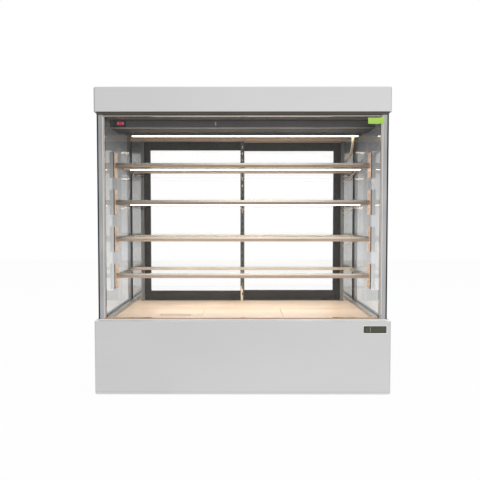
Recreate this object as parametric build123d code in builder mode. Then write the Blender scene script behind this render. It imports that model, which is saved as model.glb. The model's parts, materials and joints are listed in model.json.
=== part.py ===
from build123d import *
from math import pi, radians, tan
import os

os.makedirs("parts", exist_ok=True)

# Overall sizes in millimetres. The origin is on the floor under the middle of the case.
# +X is to the right of someone facing the glass front, +Y to the doors at the back, +Z up.
case_width = 1200.0
case_depth = 600.0
case_height = 1250.0
floor_gap = 8.0
base_height = 300.0
canopy_height = 100.0
edge_radius = 8.0
sheet = 1.5
proud = 2.0
seam = 0.5
gap = 0.2
running = 0.3
through = 1.0

# Glass box: how far it stands in from the base, and the double side panes.
glass_side_inset = 14.0
glass_front_inset = 20.0
glass_rear_inset = 24.0
side_pane = 5.0
pane_gap = 16.0
front_pane = 8.0
front_pane_inset = 5.0
spacer_width = 12.0
post_depth = 28.0
post_wall = 2.0
rear_post_width = 60.3
side_pane_setback = 2.0
front_rail_depth = 18.0
front_rail_low = 11.0
front_rail_high = 18.0

# Rear wall with two sliding doors.
track_depth = 50.0
track_lip = 3.5
track_rib = 4.0
groove = 20.0
door_thickness = 18.0
bottom_track_rise = 2.0
bottom_track_height = 14.0
bottom_groove_depth = 10.0
top_track_height = 40.0
top_groove_depth = 20.0
fascia_depth = 12.0
door_end_gap = 3.5
door_head_gap = 8.0
door_overlap = 10.0
outer_stile = 52.0
meeting_stile = 18.0
door_bottom_rail = 45.0
door_top_rail = 52.0
door_lift = 3.0
door_glass = 5.0
door_rebate = 8.0
glide_length = 40.0
glide_width = 12.0
pull_width = 24.0
pull_height = 90.0
pull_depth = 10.0
jamb_plate = 2.0
jamb_overlap = 8.0

# Deck, tub and sills at the bottom of the cabinet.
deck_rise = 4.0
deck_thickness = 8.0
deck_seam = 1.5
deck_side_gap = 2.0
deck_split_x = 171.0
front_board_depth = 236.5
sill_width = 24.0
sill_height = 18.0
tub_wall = 25.0
tub_depth = 108.0
tub_side_inset = 8.0
tub_front_inset = 12.0
tub_rear_inset = 4.0
support_width = 20.0
support_height = 10.0
vent_seam_gap = 45.0
vent_length = 141.0
vent_front_gap = 57.5
vent_depth = 53.0
vent_slot = 3.5
vent_pitch = 9.0

# Shelves and the slotted uprights that carry them.
shelf_count = 4
shelf_side_gap = 10.0
front_rail = 20.0
front_rail_setback = 164.0
rear_rail = 15.0
rear_rail_setback = 21.0
arm_width = 12.0
tube_wall = 1.5
shelf_pane = 6.0
pane_overhang = 2.0
plate_thickness = 5.0
plate_depth = 58.0
plate_height = 110.0
pad_depth = 29.0
pad_height = 73.0
upright_width = 16.0
upright_depth = 12.0
upright_wall = 2.0
upright_inset = 15.5
slot_width = 5.0
slot_height = 12.0
slot_pitch = 32.0
first_slot = 34.0
slot_margin = 20.0
hook_width = 3.0
hook_height = 9.0
hook_drop = 5.5
hook_reach = 3.0
shelf_light_setback = 95.0
shelf_light_depth = 16.0
shelf_light_height = 11.0
shelf_light_drop = 1.5

# Canopy, ceiling, lights and the rocker switch.
canopy_side_inset = 3.0
canopy_front_inset = 12.0
canopy_rear_inset = 10.0
canopy_return = 20.0
frame_height = 25.0
side_bar_width = 50.0
front_bar_depth = 36.0
rear_bar_overlap = 2.0
ceiling_thickness = 10.0
channel_setback = 107.0
channel_depth = 149.0
channel_height = 34.0
top_light_left_gap = 54.0
top_light_right_gap = 29.0
top_light_inset = 14.0
top_light_depth = 16.0
top_light_height = 15.0
switch_inset = 45.0
switch_drop = 16.0
switch_plate_left = 31.0
switch_plate_right = 24.0
switch_plate_low = 16.0
switch_plate_high = 15.0
rocker_length = 27.0
rocker_height = 16.0
rocker_tilt = 8.0
rocker_crown = 4.0
rocker_belly = 9.0
rocker_skirt = 2.0
rocker_stand = 0.5
rocker_play = 0.7
switch_pocket_depth = 14.0
switch_wall = 2.5
switch_pin = 1.5
pin_seat = 1.0
pin_play = 0.05

# Base casing, chassis and feet.
base_return = 28.0
pan_height = 12.0
chassis_tube = 22.0
chassis_wall = 2.5
chassis_rail_width = 40.0
chassis_rail_height = 15.0
cross_bar_front_inset = 75.0
cross_bar_rear_inset = 80.0
foot_inset = 60.0
foot_radius = 22.0
foot_pad = 6.0
foot_chamfer = 2.0
foot_neck = 8.0
stud_radius = 5.0
stud_length = 18.0
boss_radius = 9.0
screw_radius = 2.0
screw_head = 4.0
screw_length = 8.0
screw_relief = 2.0
screw_pitch = 250.0
leg_screw_heights = (52.0, 152.0)
pan_hole_play = 1.0
louvre_length = 80.0
louvre_height = 5.0
louvre_columns = 3
louvre_rows = 12
louvre_pitch = 95.0
louvre_row_pitch = 11.0
louvre_z = 100.0

# Controller on the base front.
controller_side_inset = 20.0
controller_top_inset = 19.0
controller_width = 92.0
controller_height = 28.0
controller_margin = 3.5
controller_body_depth = 22.0
controller_body_height = 22.0
controller_body_inset = 5.0
controller_body_lift = 1.0
bezel_radius = 2.5
keypad_width = 30.0
window_thickness = 1.5
button_width = 14.0
button_height = 5.0
button_pitch = 7.2
button_depth = 8.0
button_travel = 0.8
button_inset = 14.0
button_edge = 0.5

# Refrigeration parts.
compressor_offset = 180.0
compressor_y = 40.0
compressor_radius = 75.0
compressor_headroom = 21.5
can_round = 28.0
can_seat = 0.5
terminal_width = 50.0
terminal_reach = 24.0
terminal_low = 55.0
terminal_height = 50.0
discharge_offset = 30.0
stub_wall = 1.0
compressor_plate = 190.0
plate_gauge = 3.0
rubber_radius = 11.0
rubber_height = 12.0
mount_inset = 16.5
condenser_half = 150.0
condenser_rear_gap = 53.0
condenser_depth = 40.0
condenser_headroom = 38.5
condenser_foot = 10.0
condenser_rows = 5
first_row = 28.0
last_row = 8.0
fin_pitch = 8.0
fin_gauge = 1.0
coil_tube = 4.5
end_plate = 2.0
fan_lowering = 2.0
fan_depth = 38.0
fan_wall = 4.0
fan_tip_gap = 4.0
fan_hub = 26.0
fan_blades = 5
fan_chord = 38.0
fan_pitch_angle = 30.0
blade_root = 4.0
blade_gauge = 2.0
strut_half = 4.0
strut_seat = 1.0
motor_share = 1 / 3
strut_share = 0.1
shaft_share = 0.75
rotor_share = 0.6
fan_shaft = 3.0
shaft_play = 0.05
evaporator_length = 400.0
evaporator_rear_gap = 92.0
evaporator_depth = 70.0
evaporator_headroom = 17.0
evaporator_foot = 4.0
evaporator_fin_pitch = 10.0
evaporator_row_low = 18.0
evaporator_row_high = 20.0
evaporator_column = 17.0
small_fan_headroom = 3.0
small_fan_depth = 26.0
pipe_radius = 4.0
pipe_bend = 18.0
pipe_hole = 6.0
liquid_offset = 65.0
suction_offset = 35.0
suction_z = 100.0
stub_length = 10.0
box_side_inset = 170.0
box_front_inset = 36.0
box_width = 130.0
box_depth = 112.0
box_height = 105.0
box_round = 4.0
gland_inset = 150.0
gland_z = 65.0
gland_bore = 4.0
gland_radius = 9.9
gland_nut = 15.0
nut_height = 5.0
dome_inset = 3.0
dome_draw = 2.0
gland_tail = 16.0
gland_recess = 60.0
recess_depth = 10.0

# Leads of the lights.
top_lead_diameter = 12.0
shelf_lead_diameter = 4.0

# Places that follow from the sizes.
half_width = case_width / 2
half_depth = case_depth / 2
base_top = floor_gap + base_height
base_front = -half_depth + proud
base_rear = half_depth - proud
canopy_bottom = case_height - canopy_height
pane_outside = half_width - glass_side_inset
pane_inside = pane_outside - 2 * side_pane - pane_gap
glass_front = -half_depth + glass_front_inset
glass_rear = half_depth - glass_rear_inset
post_outside = pane_outside - side_pane
post_rear = glass_front + post_depth
post_inside = post_outside - gap - rear_post_width
door_half_width = post_inside - door_end_gap
rail_rear = glass_front + front_rail_depth
rear_wall = glass_rear - track_depth
deck_top = base_top + deck_rise
deck_bottom = deck_top - deck_thickness
deck_half_width = pane_inside - sill_width - deck_side_gap
deck_front = rail_rear + seam
deck_split_y = deck_front + front_board_depth
deck_rear_edge = rear_wall - tub_rear_inset
tub_half_width = pane_inside - tub_side_inset
tub_front = glass_front + tub_front_inset
tub_rear = rear_wall - tub_rear_inset
tub_floor_bottom = deck_bottom - tub_depth
tub_floor_top = tub_floor_bottom + tub_wall
ceiling_bottom = canopy_bottom - ceiling_thickness
channel_bottom = ceiling_bottom - channel_height
track_bottom = canopy_bottom - top_track_height
bottom_track_top = base_top + bottom_track_rise
bottom_track_bottom = bottom_track_top - bottom_track_height
front_door_y = rear_wall + track_lip + (groove - door_thickness) / 2
rear_door_y = front_door_y + groove + track_rib
door_bottom = bottom_track_top + door_lift
door_top = track_bottom + top_groove_depth - door_head_gap
upright_front = rear_wall - upright_depth
upright_x = door_half_width - upright_inset
chassis_outside = half_width - sheet - gap
chassis_front = base_front + sheet + gap
chassis_rear = base_rear - sheet - gap
pan_top = floor_gap + sheet
chassis_top = base_top - sheet
cross_bar_top = tub_floor_bottom
foot_x = half_width - foot_inset
foot_y = half_depth - foot_inset

# Slots of the uprights, and the shelves at whole slots.
slot_room = track_bottom - deck_top - first_slot - slot_margin
slot_count = int(slot_room / slot_pitch) + 1
slot_levels = [deck_top + first_slot + number * slot_pitch for number in range(slot_count)]
slots_per_shelf = round((track_bottom - deck_top) / (shelf_count + 1) / slot_pitch)
shelf_levels = [slot_levels[number * slots_per_shelf - 1] for number in range(1, shelf_count + 1)]
shelf_half_width = pane_inside - shelf_side_gap
front_rail_y = glass_front + front_rail_setback
rear_rail_y = upright_front - rear_rail_setback
shelf_light_y = front_rail_y + shelf_light_setback


def block(x_low, x_high, y_low, y_high, z_low, z_high, mode=Mode.ADD):
    with Locations(((x_low + x_high) / 2, (y_low + y_high) / 2, (z_low + z_high) / 2)):
        Box(x_high - x_low, y_high - y_low, z_high - z_low, mode=mode)


def square_tube(x_low, x_high, y_low, y_high, z_low, z_high, along, wall=tube_wall):
    # A square tube is open at both ends of the axis that it runs along.
    block(x_low, x_high, y_low, y_high, z_low, z_high)
    x_wall = 0 if along == "x" else wall
    y_wall = 0 if along == "y" else wall
    z_wall = 0 if along == "z" else wall
    block(x_low + x_wall, x_high - x_wall, y_low + y_wall, y_high - y_wall,
          z_low + z_wall, z_high - z_wall, mode=Mode.SUBTRACT)


def write(piece, name):
    piece.part.label = name
    export_step(piece.part, f"parts/{name}.step")


def corner_radii(points):
    # Each arc takes 0.45 of the shorter of the two runs that it joins.
    spots = [Vector(*point) for point in points]
    radii = []
    for before, corner, after in zip(spots, spots[1:], spots[2:]):
        run_in = corner - before
        run_out = after - corner
        turn = run_in.get_angle(run_out)
        radii.append(0.45 * min(run_in.length, run_out.length) / tan(radians(turn / 2)))
    return radii


def lead(points, diameter, name):
    radii = corner_radii(points)
    start = Vector(*points[0])
    with BuildPart() as cord:
        with BuildLine() as route:
            FilletPolyline(*points, radius=radii)
        with BuildSketch(Plane(origin=start, z_dir=Vector(*points[1]) - start)):
            Circle(diameter / 2)
        sweep()
    length = route.wires()[0].length
    section = pi * diameter ** 2 / 4
    print(name, "radii", [round(radius) for radius in radii], "length", round(length, 1),
          "volume ratio", round(cord.part.volume / (section * length), 4))
    write(cord, name)


def pipe(points):
    start = Vector(*points[0])
    with BuildLine() as route:
        FilletPolyline(*points, radius=pipe_bend)
    with BuildSketch(Plane(origin=start, z_dir=Vector(*points[1]) - start)) as section:
        Circle(pipe_radius)
    sweep(sections=section.sketch, path=route.wires()[0])


# Places of the screws that hold the rear panel and the rear of the canopy.
top_screws = [(number * screw_pitch, chassis_top - chassis_tube / 2) for number in range(-2, 3)]
leg_x = chassis_outside - chassis_tube / 2
leg_screws = [(side * leg_x, floor_gap + height) for side in (-1, 1) for height in leg_screw_heights]
base_screws = top_screws + leg_screws
canopy_screws = [(number * screw_pitch, canopy_bottom + frame_height / 2) for number in range(-2, 3)]
canopy_rear = half_depth - canopy_rear_inset


def screw_row(places, y_face, radius, y_depth, mode):
    for x, z in places:
        with Locations(Location((x, y_face, z), (90, 0, 0))):
            Cylinder(radius, y_depth, align=(Align.CENTER, Align.CENTER, Align.MIN), mode=mode)


# Base casing: one rounded sheet shell, cut at its seams into the panels.
inner_radius = edge_radius - sheet
with BuildPart() as base_hollow:
    block(-half_width + sheet, half_width - sheet, base_front + sheet, base_rear - sheet, pan_top,
          chassis_top)
    fillet(base_hollow.edges().filter_by(Axis.Z), inner_radius)
    fillet(base_hollow.faces().sort_by(Axis.Z)[0].edges(), inner_radius)

with BuildPart() as base_shell:
    block(-half_width, half_width, base_front, base_rear, floor_gap, base_top)
    fillet(base_shell.edges().filter_by(Axis.Z), edge_radius)
    fillet(base_shell.faces().sort_by(Axis.Z)[0].edges(), edge_radius)
    add(base_hollow.part, mode=Mode.SUBTRACT)
    opening_x = pane_inside + seam
    block(-opening_x, opening_x, rail_rear, glass_rear, base_top - 2 * sheet, base_top + sheet,
          mode=Mode.SUBTRACT)

controller_right = half_width - controller_side_inset
controller_left = controller_right - controller_width
controller_bottom = base_top - controller_top_inset - controller_height
body_x = (controller_left + controller_margin, controller_right - controller_body_inset)
body_low = controller_bottom + controller_body_lift
pan_seam = floor_gap + pan_height
front_seam = base_front + base_return
rear_seam = base_rear - base_return
far = case_width

with BuildPart() as base_front_panel:
    add(base_shell.part)
    block(-far, far, -far, front_seam, pan_seam, far, mode=Mode.INTERSECT)
    block(body_x[0] - gap, body_x[1] + gap, -far, base_front + 2 * sheet,
          body_low - gap, body_low + controller_body_height + gap, mode=Mode.SUBTRACT)
write(base_front_panel, "base_front_panel")

with BuildPart() as base_side_panels:
    add(base_shell.part)
    block(-far, far, front_seam + seam, rear_seam - seam, pan_seam, far, mode=Mode.INTERSECT)
    block(-opening_x, opening_x, -far, far, 0, far, mode=Mode.SUBTRACT)
write(base_side_panels, "base_side_panels")

gland_x = half_width - gland_inset
recess_x = (gland_x - gland_recess / 2, gland_x + gland_recess / 2)
recess_z = (gland_z - gland_recess / 2, gland_z + gland_recess / 2)
recess_floor = base_rear - recess_depth

with BuildPart() as base_rear_panel:
    add(base_shell.part)
    block(-far, far, rear_seam, far, pan_seam, far, mode=Mode.INTERSECT)
    block(recess_x[0] - sheet, recess_x[1] + sheet, recess_floor - sheet, base_rear,
          recess_z[0] - sheet, recess_z[1] + sheet)
    block(recess_x[0], recess_x[1], recess_floor, far, recess_z[0], recess_z[1], mode=Mode.SUBTRACT)
    with Locations(Location((gland_x, recess_floor, gland_z), (90, 0, 0))):
        Cylinder(gland_radius + gap, 4 * sheet, mode=Mode.SUBTRACT)
    with BuildSketch(Plane(origin=(0, base_rear, louvre_z), x_dir=(1, 0, 0), z_dir=(0, -1, 0))):
        with GridLocations(louvre_pitch, louvre_row_pitch, louvre_columns, louvre_rows):
            SlotOverall(louvre_length, louvre_height)
    extrude(amount=2 * sheet, mode=Mode.SUBTRACT)
    screw_row(base_screws, base_rear + through, screw_radius + gap, 3 * sheet, Mode.SUBTRACT)
write(base_rear_panel, "base_rear_panel")

with BuildPart() as base_floor_pan:
    add(base_shell.part)
    block(-far, far, -far, far, 0, pan_seam - seam, mode=Mode.INTERSECT)
    with Locations((0, 0, pan_top)):
        with GridLocations(2 * foot_x, 2 * foot_y, 2, 2):
            Cylinder(stud_radius + pan_hole_play, 4 * sheet, mode=Mode.SUBTRACT)
write(base_floor_pan, "base_floor_pan")

# Welded chassis of square tube inside the base casing.
leg_inside = chassis_outside - chassis_tube
tube_floor = chassis_top - chassis_tube
bar_y_front = tub_front + cross_bar_front_inset
bar_y_rear = tub_rear - cross_bar_rear_inset - chassis_tube
front_tube_y = (chassis_front, chassis_front + chassis_tube)
rear_tube_y = (glass_rear + gap, chassis_rear)

with BuildPart() as chassis_space:
    block(-chassis_outside, chassis_outside, chassis_front, chassis_rear, pan_top, chassis_top)
    fillet(chassis_space.edges().filter_by(Axis.Z), inner_radius)
    fillet(chassis_space.faces().sort_by(Axis.Z)[0].edges(), inner_radius)

with BuildPart() as chassis_frame:
    for y_low, y_high in (front_tube_y, rear_tube_y):
        square_tube(-chassis_outside, chassis_outside, y_low, y_high, tube_floor, chassis_top, "x")
    for x_low in (-chassis_outside, leg_inside):
        x_high = x_low + chassis_tube
        side_y = (front_tube_y[1] + gap, rear_tube_y[0] - gap)
        square_tube(x_low, x_high, side_y[0], side_y[1], tube_floor, chassis_top, "y")
        square_tube(x_low, x_high, side_y[0], side_y[1], cross_bar_top - chassis_tube, cross_bar_top, "y")
        for y_low, y_high in (front_tube_y, rear_tube_y):
            square_tube(x_low, x_high, y_low, y_high, pan_top, tube_floor - gap, "z", chassis_wall)
    for y_low in (bar_y_front, bar_y_rear):
        square_tube(-leg_inside + gap, leg_inside - gap, y_low, y_low + chassis_tube,
                    cross_bar_top - chassis_tube, cross_bar_top, "x")
    square_tube(-leg_inside + gap, leg_inside - gap, rear_wall, glass_rear - gap,
                bottom_track_bottom - chassis_tube, bottom_track_bottom, "x")
    for side in (-1, 1):
        rail_x = side * foot_x
        square_tube(rail_x - chassis_rail_width / 2, rail_x + chassis_rail_width / 2, chassis_front,
                    chassis_rear, pan_top, pan_top + chassis_rail_height, "y")
        for foot_side in (-1, 1):
            with Locations((rail_x, foot_side * foot_y, pan_top)):
                Cylinder(boss_radius, chassis_rail_height, align=(Align.CENTER, Align.CENTER, Align.MIN))
                Cylinder(stud_radius + pin_play, 3 * chassis_rail_height, mode=Mode.SUBTRACT)
    screw_row(base_screws, base_rear, screw_radius + gap, screw_length + screw_relief, Mode.SUBTRACT)
    add(chassis_space.part, mode=Mode.INTERSECT)
write(chassis_frame, "chassis_frame")

# Levelling feet: a wide pad on a threaded stud.
foot_places = {
    "foot_front_left": (-foot_x, -foot_y),
    "foot_front_right": (foot_x, -foot_y),
    "foot_rear_left": (-foot_x, foot_y),
    "foot_rear_right": (foot_x, foot_y),
}
for name, (x, y) in foot_places.items():
    with BuildPart() as foot:
        with Locations((x, y, 0)):
            Cylinder(foot_radius, foot_pad, align=(Align.CENTER, Align.CENTER, Align.MIN))
        chamfer(foot.faces().sort_by(Axis.Z)[-1].edges(), foot_chamfer)
        with Locations((x, y, foot_pad)):
            Cylinder(foot_neck, floor_gap - foot_pad - gap, align=(Align.CENTER, Align.CENTER, Align.MIN))
            Cylinder(stud_radius, stud_length, align=(Align.CENTER, Align.CENTER, Align.MIN))
    write(foot, name)

# Places of the two coils, and of the pipes between them and the compressor.
condenser_rear = base_rear - condenser_rear_gap
condenser_front = condenser_rear - condenser_depth
condenser_height = tub_floor_bottom - condenser_headroom - pan_top
evaporator_right = condenser_half
evaporator_left = evaporator_right - evaporator_length
evaporator_rear = tub_rear - evaporator_rear_gap
evaporator_front = evaporator_rear - evaporator_depth
evaporator_height = deck_bottom - evaporator_headroom - tub_floor_top
liquid_x = condenser_half + liquid_offset
suction_x = condenser_half + suction_offset
compressor_x = condenser_half + compressor_offset

# Insulated tub under the deck, with the bars that carry the lift-out panels.
with BuildPart() as insulated_tub:
    block(-tub_half_width, tub_half_width, tub_front, tub_rear, tub_floor_bottom, deck_bottom)
    block(-tub_half_width + tub_wall, tub_half_width - tub_wall, tub_front + tub_wall,
          tub_rear - tub_wall, tub_floor_top, far, mode=Mode.SUBTRACT)
    column_front = evaporator_front + evaporator_column
    column_rear = evaporator_front + evaporator_depth - evaporator_column
    with Locations((liquid_x, column_rear, tub_floor_bottom), (suction_x, column_front, tub_floor_bottom)):
        Cylinder(pipe_hole, 3 * tub_wall, mode=Mode.SUBTRACT)
    tub_inside = tub_half_width - tub_wall - gap
    block(-tub_inside, tub_inside, deck_split_y - support_width / 2, deck_split_y + support_width / 2,
          deck_bottom - support_height, deck_bottom)
    for side in (-1, 1):
        block(side * deck_split_x - support_width / 2, side * deck_split_x + support_width / 2,
              tub_front + tub_wall + gap, deck_split_y - support_width / 2 - gap,
              deck_bottom - support_height, deck_bottom)
write(insulated_tub, "insulated_tub")

# Deck of the cabinet: a fixed rear board and three lift-out boards in front of it.
with BuildPart() as deck_rear:
    block(-deck_half_width, deck_half_width, deck_split_y + deck_seam, deck_rear_edge, deck_bottom, deck_top)
write(deck_rear, "deck_rear")

deck_edges = [-deck_half_width, -deck_split_x, deck_split_x, deck_half_width]
for name, x_low, x_high in zip(("deck_left", "deck_centre", "deck_right"), deck_edges, deck_edges[1:]):
    with BuildPart() as deck_panel:
        left = x_low if x_low == -deck_half_width else x_low + deck_seam / 2
        right = x_high if x_high == deck_half_width else x_high - deck_seam / 2
        block(left, right, deck_front, deck_split_y, deck_bottom, deck_top)
        if name == "deck_left":
            slots = int(vent_length / vent_pitch)
            vent_x = -deck_split_x - vent_seam_gap - vent_length / 2
            vent_y = deck_front + vent_front_gap + vent_depth / 2
            with BuildSketch(Plane.XY.offset(deck_bottom)):
                with Locations((vent_x, vent_y)):
                    with GridLocations(vent_pitch, 1, slots, 1):
                        SlotOverall(vent_depth, vent_slot, rotation=90)
            extrude(amount=deck_thickness, mode=Mode.SUBTRACT)
    write(deck_panel, name)

# Sill rails along both sides of the deck.
with BuildPart() as side_sills:
    for side in (-1, 1):
        low_x = pane_inside - sill_width
        edges = sorted((side * low_x, side * (pane_inside - gap)))
        block(edges[0], edges[1], deck_front, rear_wall - gap, deck_bottom, deck_bottom + sill_height)
write(side_sills, "side_sills")

# Corner posts, with polished jamb plates in front of the rear ones.
with BuildPart() as corner_posts:
    for side in (-1, 1):
        edges = sorted((side * (pane_inside + gap), side * (post_outside - gap)))
        square_tube(edges[0], edges[1], glass_front, post_rear, base_top, canopy_bottom, "z", post_wall)
        edges = sorted((side * post_inside, side * (post_outside - gap)))
        square_tube(edges[0], edges[1], rear_wall + jamb_plate + gap, glass_rear, base_top, canopy_bottom,
                    "z", post_wall)
        edges = sorted((side * (door_half_width - jamb_overlap), side * (pane_inside - gap)))
        block(edges[0], edges[1], rear_wall, rear_wall + jamb_plate, bottom_track_top + gap,
              track_bottom - gap)
write(corner_posts, "corner_posts")

# Rails that hold the front pane, above and below.
with BuildPart() as front_rails:
    block(-pane_inside, pane_inside, glass_front, rail_rear, base_top, base_top + front_rail_low)
    block(-pane_inside, pane_inside, glass_front, rail_rear, canopy_bottom - front_rail_high, canopy_bottom)
write(front_rails, "front_rails")

with BuildPart() as front_glass:
    pane_y = glass_front + front_pane_inset
    block(-pane_inside, pane_inside, pane_y, pane_y + front_pane, base_top + front_rail_low,
          canopy_bottom - front_rail_high)
write(front_glass, "front_glass")

# Double panes at the sides, kept apart by spacer bars.
with BuildPart() as side_glass:
    for side in (-1, 1):
        edges = sorted((side * post_outside, side * pane_outside))
        block(edges[0], edges[1], glass_front + side_pane_setback, glass_rear, base_top,
              canopy_bottom)
        edges = sorted((side * pane_inside, side * (pane_inside + side_pane)))
        block(edges[0], edges[1], post_rear + gap, rear_wall, base_top, canopy_bottom)
write(side_glass, "side_glass")

with BuildPart() as glass_spacers:
    for side in (-1, 1):
        edges = sorted((side * (pane_inside + side_pane + gap), side * (post_outside - gap)))
        front_y = post_rear + gap
        rear_y = rear_wall
        for z_low in (base_top, canopy_bottom - spacer_width):
            block(edges[0], edges[1], front_y + spacer_width + gap, rear_y - spacer_width - gap,
                  z_low, z_low + spacer_width)
        for y_low in (front_y, rear_y - spacer_width):
            block(edges[0], edges[1], y_low, y_low + spacer_width, base_top, canopy_bottom)
write(glass_spacers, "glass_spacers")

# Tracks above and below the doors.
with BuildPart() as door_tracks:
    end_x = post_inside - gap
    block(-end_x, end_x, rear_wall, glass_rear - gap, bottom_track_bottom, bottom_track_top)
    block(-end_x, end_x, rear_wall + jamb_plate + gap, glass_rear, track_bottom, canopy_bottom)
    fascia_front = rear_wall - fascia_depth
    block(-pane_inside + gap, pane_inside - gap, fascia_front, rear_wall + jamb_plate + gap,
          track_bottom, ceiling_bottom)
    for y_low in (rear_wall + track_lip, rear_wall + track_lip + groove + track_rib):
        block(-far, far, y_low, y_low + groove, bottom_track_top - bottom_groove_depth, far / 2,
              mode=Mode.SUBTRACT)
        block(-far, far, y_low, y_low + groove, track_bottom - through, track_bottom + top_groove_depth,
              mode=Mode.SUBTRACT)
write(door_tracks, "door_tracks")

# Slotted uprights in front of the doors.
with BuildPart() as slotted_uprights:
    for x in (-upright_x, 0, upright_x):
        block(x - upright_width / 2, x + upright_width / 2, upright_front, rear_wall, deck_top, track_bottom)
        block(x - upright_width / 2 + upright_wall, x + upright_width / 2 - upright_wall,
              upright_front + upright_wall, far, deck_top, track_bottom, mode=Mode.SUBTRACT)
        for z in slot_levels:
            block(x - slot_width / 2, x + slot_width / 2, upright_front - through,
                  upright_front + upright_wall, z - slot_height / 2, z + slot_height / 2, mode=Mode.SUBTRACT)
write(slotted_uprights, "slotted_uprights")

# Sliding doors: dark frames round a pane, with nylon glides and a finger pull in the outer stile.
groove_floor = bottom_track_top - bottom_groove_depth
for name, side, y_front in (("door_left", -1, front_door_y), ("door_right", 1, rear_door_y)):
    y_rear = y_front + door_thickness
    y_middle = (y_front + y_rear) / 2
    outer = sorted((side * door_half_width, side * (door_half_width - outer_stile)))
    meeting = sorted((-side * door_overlap, side * (meeting_stile - door_overlap)))
    rails = (min(outer[1], meeting[1]) + gap, max(outer[0], meeting[0]) - gap)
    pane_x = (rails[0] - gap - door_rebate, rails[1] + gap + door_rebate)
    pane_z = (door_bottom + door_bottom_rail - door_rebate, door_top - door_top_rail + door_rebate)
    pane_y = (y_middle - door_glass / 2, y_middle + door_glass / 2)
    pull_x = (outer[0] + outer[1]) / 2
    pull_z = (door_bottom + door_top) / 2
    with BuildPart() as door_frame:
        for x_low, x_high in (outer, meeting):
            block(x_low, x_high, y_front, y_rear, door_bottom, door_top)
        block(rails[0], rails[1], y_front, y_rear, door_bottom, door_bottom + door_bottom_rail)
        block(rails[0], rails[1], y_front, y_rear, door_top - door_top_rail, door_top)
        block(pane_x[0] - gap, pane_x[1] + gap, pane_y[0] - gap, pane_y[1] + gap, pane_z[0] - gap,
              pane_z[1] + gap, mode=Mode.SUBTRACT)
        block(pull_x - pull_width / 2, pull_x + pull_width / 2, y_rear - pull_depth, y_rear + through,
              pull_z - pull_height / 2, pull_z + pull_height / 2, mode=Mode.SUBTRACT)
        for x in (rails[0] + glide_length, rails[1] - glide_length):
            block(x - glide_length / 2, x + glide_length / 2, y_middle - glide_width / 2,
                  y_middle + glide_width / 2, groove_floor + running, door_bottom - gap)
    write(door_frame, f"{name}_frame")
    with BuildPart() as door_pane:
        block(pane_x[0], pane_x[1], pane_y[0], pane_y[1], pane_z[0], pane_z[1])
    write(door_pane, f"{name}_glass")

# Shelves: a tube frame hooked in the uprights and plated to the side glass.
with BuildPart() as shelf_glass:
    for level in shelf_levels:
        block(-shelf_half_width, shelf_half_width, front_rail_y - front_rail / 2 - pane_overhang,
              rear_rail_y + rear_rail / 2 + pane_overhang, level + front_rail / 2,
              level + front_rail / 2 + shelf_pane)
write(shelf_glass, "shelf_glass")

arm_inside = shelf_half_width - arm_width
light_top = -shelf_light_drop
with BuildPart() as shelf_lights:
    for level in shelf_levels:
        block(-arm_inside + gap, arm_inside - gap, shelf_light_y - shelf_light_depth / 2,
              shelf_light_y + shelf_light_depth / 2, level + light_top - shelf_light_height,
              level + light_top)
write(shelf_lights, "shelf_lights")

for number, level in enumerate(shelf_levels, start=1):
    rail_top = level + front_rail / 2
    rail_low = level - front_rail / 2
    arm_y = (front_rail_y + front_rail / 2 + gap, rear_rail_y - rear_rail / 2 - gap)
    hook_y = rear_rail_y + rear_rail / 2 + gap
    behind_slot = upright_front + upright_wall + running
    with BuildPart() as shelf_frame:
        square_tube(-shelf_half_width, shelf_half_width, front_rail_y - front_rail / 2,
                    front_rail_y + front_rail / 2, rail_low, rail_top, "x")
        square_tube(-shelf_half_width, shelf_half_width, rear_rail_y - rear_rail / 2,
                    rear_rail_y + rear_rail / 2, rail_top - rear_rail, rail_top, "x")
        for side in (-1, 1):
            edges = sorted((side * arm_inside, side * shelf_half_width))
            square_tube(edges[0], edges[1], arm_y[0], arm_y[1], rail_low, rail_top, "y")
            plate_in = shelf_half_width + gap
            edges = sorted((side * plate_in, side * (plate_in + plate_thickness)))
            block(edges[0], edges[1], front_rail_y - plate_depth / 2, front_rail_y + plate_depth / 2,
                  level - plate_height / 2, level + plate_height / 2)
            edges = sorted((side * (plate_in + plate_thickness + gap), side * (pane_inside - gap)))
            block(edges[0], edges[1], front_rail_y - pad_depth / 2, front_rail_y + pad_depth / 2,
                  level - pad_height / 2, level + pad_height / 2)
        for x in (-upright_x, 0, upright_x):
            block(x - hook_width / 2, x + hook_width / 2, hook_y, behind_slot + hook_reach,
                  level - hook_height / 2, level + hook_height / 2)
            block(x - hook_width / 2, x + hook_width / 2, behind_slot, behind_slot + hook_reach,
                  level - hook_height / 2 - hook_drop, level)
    write(shelf_frame, f"shelf_{number}_frame")

# Frame on top of the glass, ceiling board and the channel that carries the top light.
canopy_half = half_width - canopy_side_inset
canopy_front = -half_depth + canopy_front_inset
frame_outside = canopy_half - sheet - gap
frame_front = canopy_front + sheet + gap
frame_rear = canopy_rear - sheet - gap
frame_top = canopy_bottom + frame_height
front_bar_rear = frame_front + front_bar_depth
rear_bar_front = rear_wall - rear_bar_overlap
with BuildPart() as frame_space:
    block(-frame_outside, frame_outside, frame_front, frame_rear, canopy_bottom, frame_top)
    fillet(frame_space.edges().filter_by(Axis.Z), inner_radius)

with BuildPart() as top_frame:
    square_tube(-frame_outside, frame_outside, frame_front, front_bar_rear, canopy_bottom, frame_top, "x")
    square_tube(-frame_outside, frame_outside, rear_bar_front, frame_rear, canopy_bottom, frame_top, "x")
    for side in (-1, 1):
        edges = sorted((side * (frame_outside - side_bar_width), side * frame_outside))
        square_tube(edges[0], edges[1], front_bar_rear + gap, rear_bar_front - gap, canopy_bottom, frame_top,
                    "y")
    screw_row(canopy_screws, canopy_rear, screw_radius + gap, screw_length + screw_relief, Mode.SUBTRACT)
    add(frame_space.part, mode=Mode.INTERSECT)
write(top_frame, "top_frame")

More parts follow.
